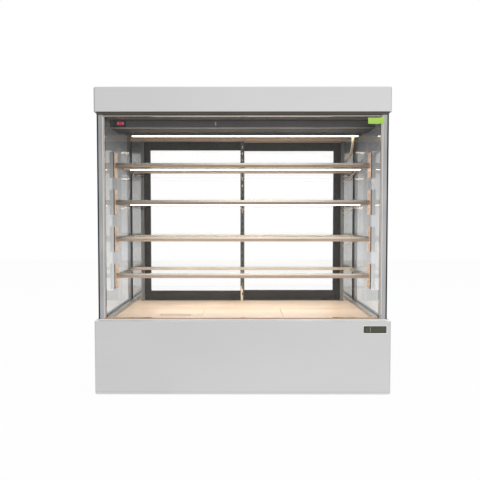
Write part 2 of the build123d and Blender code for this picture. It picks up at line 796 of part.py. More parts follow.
with BuildPart() as ceiling_panel:
    block(-pane_inside + gap, pane_inside - gap, rail_rear + gap, rear_wall + jamb_plate,
          ceiling_bottom, canopy_bottom)
write(ceiling_panel, "ceiling_panel")

channel_front = glass_front + channel_setback
channel_rear = channel_front + channel_depth
switch_x = -pane_inside + switch_inset
switch_z = ceiling_bottom - switch_drop
pocket_half = rocker_length / 2 + running
pocket_tall = rocker_height / 2 + running
switch_face = channel_front - proud
with BuildPart() as light_channel:
    block(-pane_inside + gap, pane_inside - gap, channel_front, channel_rear, channel_bottom, ceiling_bottom)
    block(-pane_inside + gap + sheet, pane_inside - gap - sheet, channel_front + sheet, channel_rear - sheet,
          channel_bottom + sheet, ceiling_bottom + through, mode=Mode.SUBTRACT)
    block(switch_x - pocket_half - switch_wall - gap, switch_x + pocket_half + switch_wall + gap,
          channel_front - through, channel_front + 2 * sheet, switch_z - pocket_tall - switch_wall - gap,
          switch_z + pocket_tall + switch_wall + gap, mode=Mode.SUBTRACT)
write(light_channel, "light_channel")

top_light_rear = channel_rear - top_light_inset
with BuildPart() as top_light:
    block(-pane_inside + top_light_left_gap, pane_inside - top_light_right_gap,
          top_light_rear - top_light_depth, top_light_rear,
          channel_bottom - top_light_height, channel_bottom)
write(top_light, "top_light")

# Rocker switch: a plate with a pocket, and a rocker that tips on the pin across the pocket.
pin_y = switch_face + rocker_crown - rocker_stand
with BuildPart() as switch_housing:
    block(switch_x - switch_plate_left, switch_x + switch_plate_right, switch_face, channel_front,
          switch_z - switch_plate_low, switch_z + switch_plate_high)
    block(switch_x - pocket_half - switch_wall, switch_x + pocket_half + switch_wall, switch_face,
          switch_face + switch_pocket_depth + switch_wall, switch_z - pocket_tall - switch_wall,
          switch_z + pocket_tall + switch_wall)
    block(switch_x - pocket_half, switch_x + pocket_half, switch_face - through,
          switch_face + switch_pocket_depth, switch_z - pocket_tall, switch_z + pocket_tall,
          mode=Mode.SUBTRACT)
    with Locations((switch_x, pin_y, switch_z)):
        Cylinder(switch_pin, 2 * (pocket_tall + pin_seat))
write(switch_housing, "switch_housing")

rocker_end = rocker_length / 2 - rocker_play
rocker_rise = rocker_end * tan(radians(rocker_tilt))
rocker_plane = Plane(origin=(switch_x, pin_y, switch_z - rocker_height / 2)).rotated((0, 0, -rocker_tilt))
with BuildPart() as rocker_switch:
    with BuildSketch(rocker_plane):
        with BuildLine():
            Line((-rocker_end, -rocker_crown - rocker_rise), (0, -rocker_crown))
            Line((0, -rocker_crown), (rocker_end, -rocker_crown - rocker_rise))
            Line((rocker_end, -rocker_crown - rocker_rise), (rocker_end, rocker_skirt))
            ThreePointArc((rocker_end, rocker_skirt), (0, rocker_belly), (-rocker_end, rocker_skirt))
            Line((-rocker_end, rocker_skirt), (-rocker_end, -rocker_crown - rocker_rise))
        make_face()
        Circle(switch_pin + pin_play, mode=Mode.SUBTRACT)
    extrude(amount=rocker_height)
write(rocker_switch, "rocker_switch")

# Canopy casing: one rounded shell, cut at its seams into the surround and the top sheet.
with BuildPart() as canopy_hollow:
    block(-canopy_half + sheet, canopy_half - sheet, canopy_front + sheet, canopy_rear - sheet,
          canopy_bottom - sheet, case_height - sheet)
    fillet(canopy_hollow.edges().filter_by(Axis.Z), inner_radius)
    fillet(canopy_hollow.faces().sort_by(Axis.Z)[-1].edges(), inner_radius)

with BuildPart() as canopy_shell:
    block(-canopy_half, canopy_half, canopy_front, canopy_rear, canopy_bottom, case_height)
    fillet(canopy_shell.edges().filter_by(Axis.Z), edge_radius)
    fillet(canopy_shell.faces().sort_by(Axis.Z)[-1].edges(), edge_radius)
    add(canopy_hollow.part, mode=Mode.SUBTRACT)

top_front = canopy_front + canopy_return
top_rear = canopy_rear - canopy_return
top_side = canopy_half - canopy_return

with BuildPart() as canopy_front_panel:
    add(canopy_shell.part)
    block(-far, far, -far, top_front, 0, 2 * far, mode=Mode.INTERSECT)
write(canopy_front_panel, "canopy_front")

with BuildPart() as canopy_sides:
    add(canopy_shell.part)
    block(-far, far, top_front + seam, far, 0, 2 * far, mode=Mode.INTERSECT)
    block(-far, far, top_rear - seam, top_rear, 0, 2 * far, mode=Mode.SUBTRACT)
    block(-top_side, top_side, -far, top_rear, 0, 2 * far, mode=Mode.SUBTRACT)
    screw_row(canopy_screws, canopy_rear + through, screw_radius + gap, 3 * sheet, Mode.SUBTRACT)
write(canopy_sides, "canopy_sides")

with BuildPart() as canopy_top:
    add(canopy_shell.part)
    block(-top_side + seam, top_side - seam, top_front + seam, top_rear - seam, case_height - 2 * sheet,
          2 * far, mode=Mode.INTERSECT)
write(canopy_top, "canopy_top")

with BuildPart() as panel_screws:
    for places, y_face in ((base_screws, base_rear), (canopy_screws, canopy_rear)):
        screw_row(places, y_face + proud, screw_head, proud, Mode.ADD)
        screw_row(places, y_face, screw_radius, screw_length, Mode.ADD)
write(panel_screws, "panel_screws")

# Controller: a bezel with a shallow body behind the panel, a window and three keys.
bezel_front = base_front - proud
bezel_top = controller_bottom + controller_height
button_z = body_low + controller_body_height / 2
button_x = controller_left + button_inset
window_left = controller_left + keypad_width
button_levels = {
    "button_up": button_z + button_pitch,
    "button_set": button_z,
    "button_down": button_z - button_pitch,
}
with BuildPart() as controller_housing:
    block(controller_left, controller_right, bezel_front, base_front, controller_bottom, bezel_top)
    fillet(controller_housing.edges().filter_by(Axis.Y), bezel_radius)
    block(body_x[0], body_x[1], base_front, base_front + controller_body_depth, body_low,
          body_low + controller_body_height)
    block(window_left, controller_right - controller_margin, bezel_front - through,
          bezel_front + window_thickness,
          controller_bottom + controller_margin, bezel_top - controller_margin, mode=Mode.SUBTRACT)
    for z in button_levels.values():
        block(button_x - button_width / 2 - running, button_x + button_width / 2 + running,
              bezel_front - through, bezel_front + button_depth + button_travel + running,
              z - button_height / 2 - running, z + button_height / 2 + running, mode=Mode.SUBTRACT)
write(controller_housing, "controller_housing")

with BuildPart() as controller_window:
    block(window_left + gap, controller_right - controller_margin - gap, bezel_front + gap,
          bezel_front + window_thickness, controller_bottom + controller_margin + gap,
          bezel_top - controller_margin - gap)
write(controller_window, "controller_window")

for name, z in button_levels.items():
    with BuildPart() as button:
        block(button_x - button_width / 2, button_x + button_width / 2, bezel_front + gap,
              bezel_front + button_depth, z - button_height / 2, z + button_height / 2)
        fillet(button.faces().sort_by(Axis.Y)[0].edges(), button_edge)
    write(button, name)

# Compressor on four rubber mounts.
plate_low = pan_top + rubber_height
can_low = plate_low + plate_gauge
row_pitch = (condenser_height - first_row - last_row) / (condenser_rows - 1)
condenser_levels = [pan_top + first_row + number * row_pitch for number in range(condenser_rows)]
discharge_x = compressor_x - discharge_offset
discharge_z = condenser_levels[-1]
compressor_height = tub_floor_bottom - compressor_headroom - can_low
with BuildPart() as compressor:
    with Locations((compressor_x, compressor_y, can_low)):
        Cylinder(compressor_radius, compressor_height, align=(Align.CENTER, Align.CENTER, Align.MIN))
    fillet(compressor.edges().filter_by(GeomType.CIRCLE), can_round)
    block(compressor_x - compressor_plate / 2, compressor_x + compressor_plate / 2,
          compressor_y - compressor_plate / 2, compressor_y + compressor_plate / 2, plate_low,
          can_low + can_seat)
    block(compressor_x - terminal_width / 2, compressor_x + terminal_width / 2,
          compressor_y - compressor_radius - terminal_reach, compressor_y,
          can_low + terminal_low, can_low + terminal_low + terminal_height)
    with Locations(Location((discharge_x, compressor_y, discharge_z), (-90, 0, 0)),
                   Location((compressor_x, compressor_y, suction_z), (0, -90, 0))):
        Cylinder(pipe_radius + stub_wall, compressor_radius + stub_length,
                 align=(Align.CENTER, Align.CENTER, Align.MIN))
    mount_pitch = compressor_plate - 2 * mount_inset
    with Locations((compressor_x, compressor_y, pan_top)):
        with GridLocations(mount_pitch, mount_pitch, 2, 2):
            Cylinder(rubber_radius, rubber_height - gap, align=(Align.CENTER, Align.CENTER, Align.MIN))
write(compressor, "compressor")


def finned_coil(x_low, x_high, y_low, y_high, z_low, z_high, foot_z, rows, columns, pitch):
    # Fins stand across the tubes, and the two end plates reach down to what the coil stands on.
    middle_x = (x_low + x_high) / 2
    middle_z = (z_low + z_high) / 2
    count = int((x_high - x_low) / pitch)
    with Locations((middle_x, (y_low + y_high) / 2, middle_z)):
        with GridLocations(pitch, 1, count, 1):
            Box(fin_gauge, y_high - y_low, z_high - z_low)
    for x in (x_low, x_high - end_plate):
        block(x, x + end_plate, y_low, y_high, foot_z, z_high)
    for z in rows:
        for y in columns:
            with Locations(Location((middle_x, y, z), (0, 90, 0))):
                Cylinder(coil_tube, x_high - x_low)


def fan_housing(x, y_front, z, size, depth, bore, hub):
    # A square frame with a round bore, four struts and a motor with its shaft in the middle.
    block(x - size / 2, x + size / 2, y_front, y_front + depth, z - size / 2, z + size / 2)
    with Locations(Location((x, y_front, z), (-90, 0, 0))):
        Cylinder(bore, 3 * depth, mode=Mode.SUBTRACT)
        Cylinder(hub, depth * motor_share, align=(Align.CENTER, Align.CENTER, Align.MIN))
        Cylinder(fan_shaft, depth * shaft_share, align=(Align.CENTER, Align.CENTER, Align.MIN))
    reach = bore + strut_seat
    strut_rear = y_front + depth * strut_share
    block(x - reach, x + reach, y_front, strut_rear, z - strut_half, z + strut_half)
    block(x - strut_half, x + strut_half, y_front, strut_rear, z - reach, z + reach)


def fan_rotor(x, y, z, tip, hub, length, chord):
    blade_length = tip - hub + blade_root
    with Locations(Location((x, y, z), (90, 0, 0))):
        Cylinder(hub, length)
        with PolarLocations(tip - blade_length / 2, fan_blades):
            Box(blade_length, chord, blade_gauge, rotation=(fan_pitch_angle, 0, 0))
        Cylinder(fan_shaft + shaft_play, 2 * length, mode=Mode.SUBTRACT)


condenser_y = (condenser_front + condenser_rear) / 2
fan_size = condenser_height - fan_lowering
fan_bore = fan_size / 2 - fan_wall
fan_tip = fan_bore - fan_tip_gap
fan_front = condenser_front - fan_depth - gap
fan_z = pan_top + fan_size / 2
with BuildPart() as condenser:
    finned_coil(-condenser_half, condenser_half, condenser_front, condenser_rear, pan_top + condenser_foot,
                pan_top + condenser_height, pan_top, condenser_levels, [condenser_y], fin_pitch)
    fan_housing(0, fan_front, fan_z, fan_size, fan_depth, fan_bore, fan_hub)
write(condenser, "condenser")

with BuildPart() as condenser_fan_blade:
    fan_rotor(0, fan_front + fan_depth * rotor_share, fan_z, fan_tip, fan_hub, fan_depth * motor_share,
              fan_chord)
write(condenser_fan_blade, "condenser_fan_blade")

evaporator_low = tub_floor_top + evaporator_row_low
evaporator_levels = [evaporator_low, tub_floor_top + evaporator_height - evaporator_row_high]
evaporator_columns = [evaporator_front + evaporator_column, evaporator_rear - evaporator_column]
small_fan_size = deck_bottom - support_height - small_fan_headroom - tub_floor_top
small_fan_x = (evaporator_left + evaporator_right) / 2
small_scale = small_fan_size / fan_size
small_fan_front = evaporator_front - small_fan_depth - gap
small_fan_z = tub_floor_top + small_fan_size / 2
with BuildPart() as evaporator:
    finned_coil(evaporator_left, evaporator_right, evaporator_front, evaporator_rear,
                tub_floor_top + evaporator_foot, tub_floor_top + evaporator_height, tub_floor_top,
                evaporator_levels, evaporator_columns, evaporator_fin_pitch)
    fan_housing(small_fan_x, small_fan_front, small_fan_z, small_fan_size, small_fan_depth,
                fan_bore * small_scale, fan_hub * small_scale)
write(evaporator, "evaporator")

with BuildPart() as evaporator_fan_blade:
    fan_rotor(small_fan_x, small_fan_front + small_fan_depth * rotor_share, small_fan_z,
              fan_tip * small_scale, fan_hub * small_scale, small_fan_depth * motor_share,
              fan_chord * small_scale)
write(evaporator_fan_blade, "evaporator_fan_blade")

# Refrigerant pipes between the compressor, the condenser and the evaporator.
condenser_end = condenser_half + gap
evaporator_end = evaporator_right + gap
liquid_z = condenser_levels[0]
evaporator_z = evaporator_levels[0]
with BuildPart() as refrigerant_pipes:
    pipe([(discharge_x, compressor_y + compressor_radius + stub_length + gap, discharge_z),
          (discharge_x, condenser_y, discharge_z),
          (condenser_end, condenser_y, discharge_z)])
    pipe([(condenser_end, condenser_y, liquid_z),
          (liquid_x, condenser_y, liquid_z),
          (liquid_x, evaporator_columns[1], liquid_z),
          (liquid_x, evaporator_columns[1], evaporator_z),
          (evaporator_end, evaporator_columns[1], evaporator_z)])
    pipe([(evaporator_end, evaporator_columns[0], evaporator_z),
          (suction_x, evaporator_columns[0], evaporator_z),
          (suction_x, evaporator_columns[0], suction_z),
          (suction_x, compressor_y, suction_z),
          (compressor_x - compressor_radius - stub_length - gap, compressor_y, suction_z)])
write(refrigerant_pipes, "refrigerant_pipes")

# Electrical box on the right chassis rail, and the cable gland at the back.
rail_top_z = pan_top + chassis_rail_height
box_left = half_width - box_side_inset
box_front = base_front + box_front_inset
with BuildPart() as electrical_box:
    block(box_left, box_left + box_width, box_front, box_front + box_depth, rail_top_z,
          rail_top_z + box_height)
    fillet(electrical_box.edges().filter_by(Axis.Z), box_round)
write(electrical_box, "electrical_box")

with BuildPart() as cable_gland:
    with BuildSketch(Plane(origin=(gland_x, recess_floor, gland_z), x_dir=(-1, 0, 0), z_dir=(0, 1, 0))):
        RegularPolygon(gland_nut, 6)
    extrude(amount=nut_height)
    with Locations(Location((gland_x, recess_floor + nut_height, gland_z), (-90, 0, 0))):
        Cone(gland_nut - dome_inset, gland_radius - dome_draw, recess_depth + proud - nut_height,
             align=(Align.CENTER, Align.CENTER, Align.MIN))
    with Locations(Location((gland_x, recess_floor, gland_z), (90, 0, 0))):
        Cylinder(gland_radius, gland_tail, align=(Align.CENTER, Align.CENTER, Align.MIN))
    with BuildSketch(Plane(origin=(gland_x, recess_floor - sheet - gap, gland_z), x_dir=(1, 0, 0),
                           z_dir=(0, -1, 0))):
        RegularPolygon(gland_nut, 6)
    extrude(amount=nut_height)
    with Locations(Location((gland_x, recess_floor, gland_z), (90, 0, 0))):
        Cylinder(gland_bore, case_depth, mode=Mode.SUBTRACT)
write(cable_gland, "cable_gland")

# Leads: a thick one from the light channel to the right jamb, and a thin one from each shelf light.
lead([(497, -30, channel_bottom), (497, -30, 1070), (498, -12, 1042), (501, 22, 1026), (505, 70, 1020),
      (510, 122, 1017), (516, 172, 1016), (516, rear_wall, 1016)], top_lead_diameter, "lead_top")
shelf_light_rear = shelf_light_y + shelf_light_depth / 2
for number, level in enumerate(shelf_levels, start=1):
    lead([(525, shelf_light_rear, level - 10), (525, 27, level - 10), (523, 72, level - 22),
          (516, 116, level - 34), (507, 150, level - 40), (503, 180, level - 41),
          (503, upright_front, level - 41)], shelf_lead_diameter, f"lead_shelf_{number}")
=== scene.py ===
import json
from math import pi, radians

import bpy
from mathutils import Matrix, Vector


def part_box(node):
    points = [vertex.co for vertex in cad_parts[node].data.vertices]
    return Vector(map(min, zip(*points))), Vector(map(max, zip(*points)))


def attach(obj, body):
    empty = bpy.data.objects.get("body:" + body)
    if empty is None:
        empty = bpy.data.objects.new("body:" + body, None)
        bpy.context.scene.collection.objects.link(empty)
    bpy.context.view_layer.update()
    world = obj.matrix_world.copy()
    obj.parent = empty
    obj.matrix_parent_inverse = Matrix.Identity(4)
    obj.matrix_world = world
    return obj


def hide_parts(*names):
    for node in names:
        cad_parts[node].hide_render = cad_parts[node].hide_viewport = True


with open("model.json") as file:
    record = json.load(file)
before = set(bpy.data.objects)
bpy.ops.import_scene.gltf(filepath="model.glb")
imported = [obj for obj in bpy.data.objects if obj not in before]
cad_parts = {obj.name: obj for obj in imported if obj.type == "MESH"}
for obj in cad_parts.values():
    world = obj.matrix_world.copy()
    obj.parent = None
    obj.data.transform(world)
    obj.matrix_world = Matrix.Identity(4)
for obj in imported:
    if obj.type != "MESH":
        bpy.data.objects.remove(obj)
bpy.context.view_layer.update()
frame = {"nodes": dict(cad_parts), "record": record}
record = frame["record"]
nodes = frame["nodes"]
bodyOf = {node: body for body, members in record["behaviour"]["bodies"].items() for node in members}
print("frame loaded:", len(nodes), "nodes")


def addObject(name, data):
    made = bpy.data.objects.new(name, data)
    bpy.context.scene.collection.objects.link(made)
    return made


# camera, at the photograph's eye height and distance
cameraSetup = {"place": (-0.005, -2.308, 0.7116), "tiltDown": 2.13, "turnLeft": 0.16,
               "lens": 37.62, "sensor": 36.0}
cameraData = bpy.data.cameras.new("photoCamera")
cameraData.lens = cameraSetup["lens"]
cameraData.sensor_width = cameraSetup["sensor"]
camera = addObject("photoCamera", cameraData)
camera.location = cameraSetup["place"]
camera.rotation_euler = (radians(90 - cameraSetup["tiltDown"]), 0, radians(cameraSetup["turnLeft"]))
bpy.context.scene.camera = camera
bpy.context.scene.view_settings.view_transform = "Standard"


# materials: colours are sRGB hex, sizes are real millimetres on Object coordinates
def toLinear(code):
    parts = [int(code[at:at + 2], 16) / 255 for at in (1, 3, 5)]
    return tuple(p / 12.92 if p <= 0.04045 else ((p + 0.055) / 1.055) ** 2.4 for p in parts) + (1.0,)


def addNode(tree, kind, settings=None, links=None):
    made = tree.nodes.new("ShaderNode" + kind)
    for name, value in (settings or {}).items():
        if isinstance(name, int) or name in made.inputs:
            made.inputs[name].default_value = value
        else:
            setattr(made, name, value)
    for name, source in (links or {}).items():
        # a node stands for its first output
        tree.links.new(source.outputs[0] if hasattr(source, "outputs") else source, made.inputs[name])
    return made


def combine(tree, operation, one, two):
    return addNode(tree, "Math", {"operation": operation}, {0: one, 1: two})


def startMaterial(name):
    material = bpy.data.materials.new(name)
    material.use_nodes = True
    tree = material.node_tree
    tree.nodes.clear()
    return material, tree, addNode(tree, "OutputMaterial")


def grainNoise(tree, grain, detail=3.0):
    # grain is the size of one speck or streak along X, Y and Z, in millimetres
    place = addNode(tree, "TexCoord")
    scale = tuple(1000 / size for size in grain)
    turned = addNode(tree, "Mapping", {"Scale": scale}, {"Vector": place.outputs["Object"]})
    return addNode(tree, "TexNoise", {"Scale": 1.0, "Detail": detail}, {"Vector": turned})


def roughGrain(tree, grain, rough):
    # roughness that follows the grain between two values
    return addNode(tree, "MapRange", {"From Min": 0.3, "From Max": 0.7, "To Min": rough[0], "To Max": rough[1]},
                   {"Value": grain})


def colourRamp(tree, factor, stops):
    # stops is a row of places from 0 to 1 and colours
    ramp = addNode(tree, "ValToRGB", None, {"Fac": factor})
    while len(ramp.color_ramp.elements) < len(stops):
        ramp.color_ramp.elements.new(0.5)
    for stop, (spot, code) in zip(ramp.color_ramp.elements, stops):
        stop.position = spot
        stop.color = toLinear(code)
    return ramp


def axisRamp(tree, axis, stops):
    # a colour ramp along one axis of the case: stops is a row of places in metres and colours
    place = addNode(tree, "TexCoord")
    split = addNode(tree, "SeparateXYZ", None, {0: place.outputs["Object"]})
    first, last = stops[0][0], stops[-1][0]
    share = addNode(tree, "MapRange", {"From Min": first, "From Max": last}, {"Value": split.outputs[axis]})
    return colourRamp(tree, share, [((spot - first) / (last - first), code) for spot, code in stops])


def surface(name, light, dark, grain, rough, bump=0.0, cloud=(160, 160, 160), shade=None, **shader):
    # a finish with fine grain in colour, roughness and bump, and a slow cloud over its colour;
    # shade is a row of places along X and tones that darken it there
    material, tree, output = startMaterial(name)
    fine = grainNoise(tree, grain)
    both = addNode(tree, "Mix", {"Factor": 0.5}, {"A": fine, "B": grainNoise(tree, cloud, 1.0)})
    colour = colourRamp(tree, both, ((0.35, dark), (0.65, light)))
    if shade:
        colour = addNode(tree, "VectorMath", {"operation": "MULTIPLY"},
                         {0: colour, 1: axisRamp(tree, 0, shade)})
    links = {"Base Color": colour, "Roughness": roughGrain(tree, fine, rough)}
    if bump:
        links["Normal"] = addNode(tree, "Bump", {"Strength": 0.5, "Distance": bump / 1000},
                                  {"Height": fine})
    body = addNode(tree, "BsdfPrincipled", shader, links)
    tree.links.new(body.outputs[0], output.inputs[0])
    return material


def clearGlass(name, tint, ior, heightShade=None, **shader):
    # float glass: smooth, with slow waves, and lamps reach what stands behind it;
    # the optional row of heights in metres and greys paints a dark reflection on the glass there
    material, tree, output = startMaterial(name)
    links = {"Normal": addNode(tree, "Bump", {"Strength": 0.02, "Distance": 0.0001},
                               {"Height": grainNoise(tree, (300, 300, 300), 0.0)})}
    shadeLinks = {}
    if heightShade:
        links["Base Color"] = axisRamp(tree, 2, heightShade)
        shadeLinks = {"Color": links["Base Color"]}
    pane = addNode(tree, "BsdfPrincipled",
                   {"Base Color": toLinear(tint), "Roughness": 0.0, "IOR": ior, "Transmission Weight": 1.0,
                    **shader}, links)
    passing = addNode(tree, "BsdfTransparent", {"Color": toLinear(tint)}, shadeLinks)
    ray = addNode(tree, "LightPath")
    either = combine(tree, "MAXIMUM", ray.outputs["Is Shadow Ray"], ray.outputs["Is Diffuse Ray"])
    mixed = addNode(tree, "MixShader", None, {0: either, 1: pane, 2: passing})
    tree.links.new(mixed.outputs[0], output.inputs[0])
    return material


def litPlastic(name, light, dark, strength, rough):
    # moulded plastic lit from inside, a little uneven as the lamp behind it shows
    material, tree, output = startMaterial(name)
    glow = colourRamp(tree, grainNoise(tree, (6, 6, 6)), ((0.3, dark), (0.7, light)))
    body = addNode(tree, "BsdfPrincipled", {"Roughness": rough, "Emission Strength": strength},
                   {"Base Color": glow, "Emission Color": glow})
    tree.links.new(body.outputs[0], output.inputs[0])
    return material


def streakedDeckFinish(name, light, dark, rough):
    # a pale deck under a satin finish: streaks 2 mm wide and 120 mm long that run from side to side
    material, tree, output = startMaterial(name)
    streaks = grainNoise(tree, (120, 2, 2), 4.0)
    both = addNode(tree, "Mix", {"Factor": 0.55},
                   {"A": streaks, "B": grainNoise(tree, (420, 26, 26), 2.0)})
    height = addNode(tree, "Bump", {"Strength": 0.3, "Distance": 0.0002}, {"Height": streaks})
    body = addNode(tree, "BsdfPrincipled", None,
                   {"Base Color": colourRamp(tree, both, ((0.36, dark), (0.62, light))),
                    "Normal": height, "Roughness": roughGrain(tree, streaks, rough)})
    tree.links.new(body.outputs[0], output.inputs[0])
    return material


metal = {"Metallic": 1.0}
# coarser than life so that they show: streaks 2 mm wide for 0.5, drawn lines 1.2 and specks 0.8 for 0.1
brushed = {"grain": (150, 150, 2), "rough": (0.34, 0.46), "bump": 0.01, **metal}
drawnTube = {"grain": (260, 1.2, 1.2), "rough": (0.20, 0.28), **metal}
dullTube = {"grain": (260, 1.2, 1.2), "rough": (0.34, 0.44)}
drawnTrim = (200, 1.5, 1.5)
specks = (0.8, 0.8, 0.8)
sheetCloud = (500, 500, 300)

# brushed sheet: faint level streaks in an even sheen; the base's copy is darker, as painted shade
casingSteel = surface("brushedStainless", "#E3E3E3", "#DBDBDB", cloud=sheetCloud, **brushed)
shadedBaseSteel = surface("brushedStainlessBaseShaded", "#D9D9D9", "#D2D2D2", cloud=sheetCloud, **brushed)
# the sheet lying flat, and its pressed corners, painted darker as shade since they catch less light
casingTop = surface("brushedStainlessFlat", "#DCDCDC", "#D5D5D5", cloud=sheetCloud,
                    **{**brushed, "grain": (150, 2, 150)})
casingFoldShade = surface("brushedStainlessFoldShade", "#D4D4D4", "#CACACA", **brushed)
# a fold smoothed by the press: a bright line, painted highlight
foldHighlight = surface("satinStainlessFoldHighlight", "#FBFBFB", "#F3F3F3", (150, 2, 2), (0.28, 0.36), **metal)
# brushed along the posts: upright streaks, a cool sheen
postSteel = surface("brushedPostSteel", "#BDBEBF", "#A4A6A8", (1.5, 1.5, 90), (0.26, 0.38), 0.02, **metal)
# polished plates: they mirror the shelves
polishedSteel = surface("mirrorPolishedSteel", "#D6D6D4", "#C8C8C6", (40, 40, 40), (0.04, 0.10), **metal)
# satin tubes: a warm shine, with painted shade that darkens both ends, sooner on the upper shelves
lowerShade = [(-0.53, "#AFAFAF"), (-0.44, "#C9C9C9"), (-0.36, "#DCDCDC"), (-0.18, "#EDEDED"),
              (0.07, "#FFFFFF"), (0.30, "#F4F4F4"), (0.43, "#E0E0E0"), (0.53, "#C9C9C9")]
upperShade = [(-0.53, "#808080"), (-0.36, "#A6A6A6"), (-0.27, "#C2C2C2"), (-0.18, "#DEDEDE"),
              (-0.05, "#F6F6F6"), (0.07, "#FFFFFF"), (0.25, "#F6F6F6"), (0.34, "#E2E2E2"),
              (0.43, "#BCBCBC"), (0.53, "#ADADAD")]
endShadedRailSteel = surface("satinSteelTube", "#FFF1E2", "#F7E8D8", shade=lowerShade, **drawnTube)
shadedUpperRailSteel = surface("satinSteelTubeUpper", "#FFF4E6", "#F6EADC", shade=upperShade, **drawnTube)
shadedTopRailSteel = surface("satinSteelTubeTop", "#F3E5D6", "#E9DACB", shade=upperShade, **drawnTube)
# the groove under the bright top: a dull darker line, painted shade
shadedGrooveSteel = surface("shadedSatinSteel", "#C2AC98", "#B39D89", Metallic=0.6, **dullTube)
shadedUpperGrooveSteel = surface("shadedSatinSteelUpper", "#A48D78", "#96806C", Metallic=0.6, **dullTube)
# rear tubes: duller, painted warm with the lights' glow, and darker as painted shade on the upper shelves
warmLitRearTube = surface("warmLitSatinTube", "#EFDBC9", "#E4CFBC", **dullTube, **metal)
shadedWarmLitRearTube = surface("warmLitSatinTubeShaded", "#C8B09A", "#BDA68F", **dullTube, **metal)
# end plates: a cream sheen inside, painted warm lamp light, pale and dull outside
warmLitPlate = surface("warmLitSatinPlate", "#FAD6BA", "#ECC7AA", (1.5, 30, 30), (0.34, 0.46), 0.01,
                     Metallic=0.5)
plateBack = surface("palePlateBack", "#E0DEDA", "#D2D0CC", (8, 8, 8), (0.40, 0.52))
# anodised tracks: grey with fine lines; the fascia's glow in the lamps' warm light is painted in
trackAluminium = surface("satinAnodisedTrack", "#C6C4C1", "#B5B3B0", drawnTrim, (0.36, 0.46), 0.01, **metal)
warmLitFascia = surface("warmLitFasciaAluminium", "#FFDFC1", "#EFCBAC", drawnTrim, (0.36, 0.46), 0.01,
                          Metallic=0.3)
# rail below the pane: a warm brown line in the fold's shade
ledgeShade = surface("shadedRailSteel", "#B9A088", "#AC947D", (260, 2, 2), (0.40, 0.52), Metallic=0.3)
# rolled hem: a thin highlight
hemSteel = surface("satinSteelHem", "#B5ABA2", "#A89E95", drawnTrim, (0.24, 0.34), **metal)
# ribbed sills: lines to the back that break up the light
sillAluminium = surface("ribbedAnodisedSill", "#D9D8D5", "#BFBEBB", (1.5, 40, 1.5), (0.28, 0.40), 0.02,
                        **metal)
# spacers: matt and a little mottled
spacerAluminium = surface("mattSpacerAluminium", "#A2A3A5", "#909194", (30, 30, 30), (0.42, 0.55), 0.02,
                          **metal)
# dark anodising: almost black, a dull sheen on the stiles
doorAluminium = surface("darkAnodisedDoor", "#3B3937", "#312F2C", (2, 2, 60), (0.36, 0.48), 0.01,
                        Metallic=0.6)
# uprights: satin grey, and powder coat with a fine orange peel in the middle
uprightSteel = surface("satinUprightSteel", "#918F8E", "#848281", (1.5, 1.5, 60), (0.30, 0.42), 0.01,
                       Metallic=0.6)
uprightPaint = surface("greyPowderCoat", "#6A6867", "#565453", (1.2, 1.2, 1.2), (0.40, 0.55), 0.05,
                       Metallic=0.3)
# coated channel and rail: a soft sheen along them, dull underneath, where the coat is painted shade
channelPaint = surface("darkSatinCoat", "#605D5A", "#524F4C", (200, 2, 2), (0.30, 0.42), 0.03, Metallic=0.4)
# the rail's coat, darker and warmer: painted shadow under the canopy
railShadowCoat = surface("darkWarmShadowCoat", "#57524A", "#4A453E", (200, 2, 2), (0.30, 0.42), 0.03,
                    Metallic=0.4)
channelShade = surface("darkMattShadeCoat", "#3A3836", "#302E2C", (3, 3, 3), (0.60, 0.72), 0.03)
# coated board: dull grey with a blurred glow from the lamp
ceilingBoard = surface("darkCoatedBoard", "#6E6C66", "#5F5D58", (3, 3, 3), (0.45, 0.60), 0.05)
# painted tube: matt, slightly rough
chassisPaint = surface("mattGreyChassisPaint", "#4E4F52", "#3F4043", (1.2, 1.2, 1.2), (0.50, 0.65), 0.06)
# formed liner: white, finely pebbled
tubLiner = surface("whiteMouldedLiner", "#E4E4E0", "#D6D6D2", (1.5, 1.5, 1.5), (0.42, 0.55), 0.06)
# moulded plastics: a fine dull speckle; the cream one is painted light for the lit slots and foot
paintedSlotLight = surface("creamPaintedSlotLight", "#FFF3E4", "#F6E6D4", specks, (0.40, 0.52), 0.03)
switchNylon = surface("blackMouldedNylon", "#26262A", "#1B1B1E", specks, (0.40, 0.55), 0.06)
controllerAbs = surface("oliveBlackAbs", "#4A4A3E", "#3C3C31", specks, (0.38, 0.50), 0.06)
dividerAbs = surface("paleDividerAbs", "#9A9A86", "#86866F", specks, (0.35, 0.48), 0.04)
# acrylic: glossy beside the dull housing
windowAcrylic = surface("smokedAcrylic", "#4C4C40", "#404036", (12, 12, 12), (0.06, 0.12))
# silicone keys: duller and lighter than the housing
keyRubber = surface("mouldedSiliconeKey", "#615C50", "#545044", specks, (0.48, 0.62), 0.06)
# rubber seals: soft black lines round the panes
sealRubber = surface("blackSealRubber", "#2B2B2B", "#1D1D1D", (0.8, 0.8, 6), (0.48, 0.64), 0.08)
# silicone bead: milky with a wet shine
clearSilicone = surface("milkySiliconeSeal", "#C4B9AF", "#B0A498", (2, 2, 14), (0.22, 0.34), 0.05)
# hard rubber: black and quite matt
footRubber = surface("hardFootRubber", "#29292A", "#1C1C1D", (1, 1, 1), (0.60, 0.78), 0.10)
# stoved enamel: black with a wet gloss
compressorEnamel = surface("blackCompressorEnamel", "#202022", "#161618", (8, 8, 8), (0.18, 0.30), 0.05)
# drawn copper: a warm soft shine with darker patches
copperPipe = surface("drawnCopper", "#C98A5E", "#A96C45", (14, 14, 14), (0.22, 0.36), 0.02, **metal)
# mill-finish fins: fine upright lines
coilAluminium = surface("millAluminiumFins", "#C7C9CB", "#ABADB0", (2, 30, 30), (0.34, 0.48), 0.03, **metal)
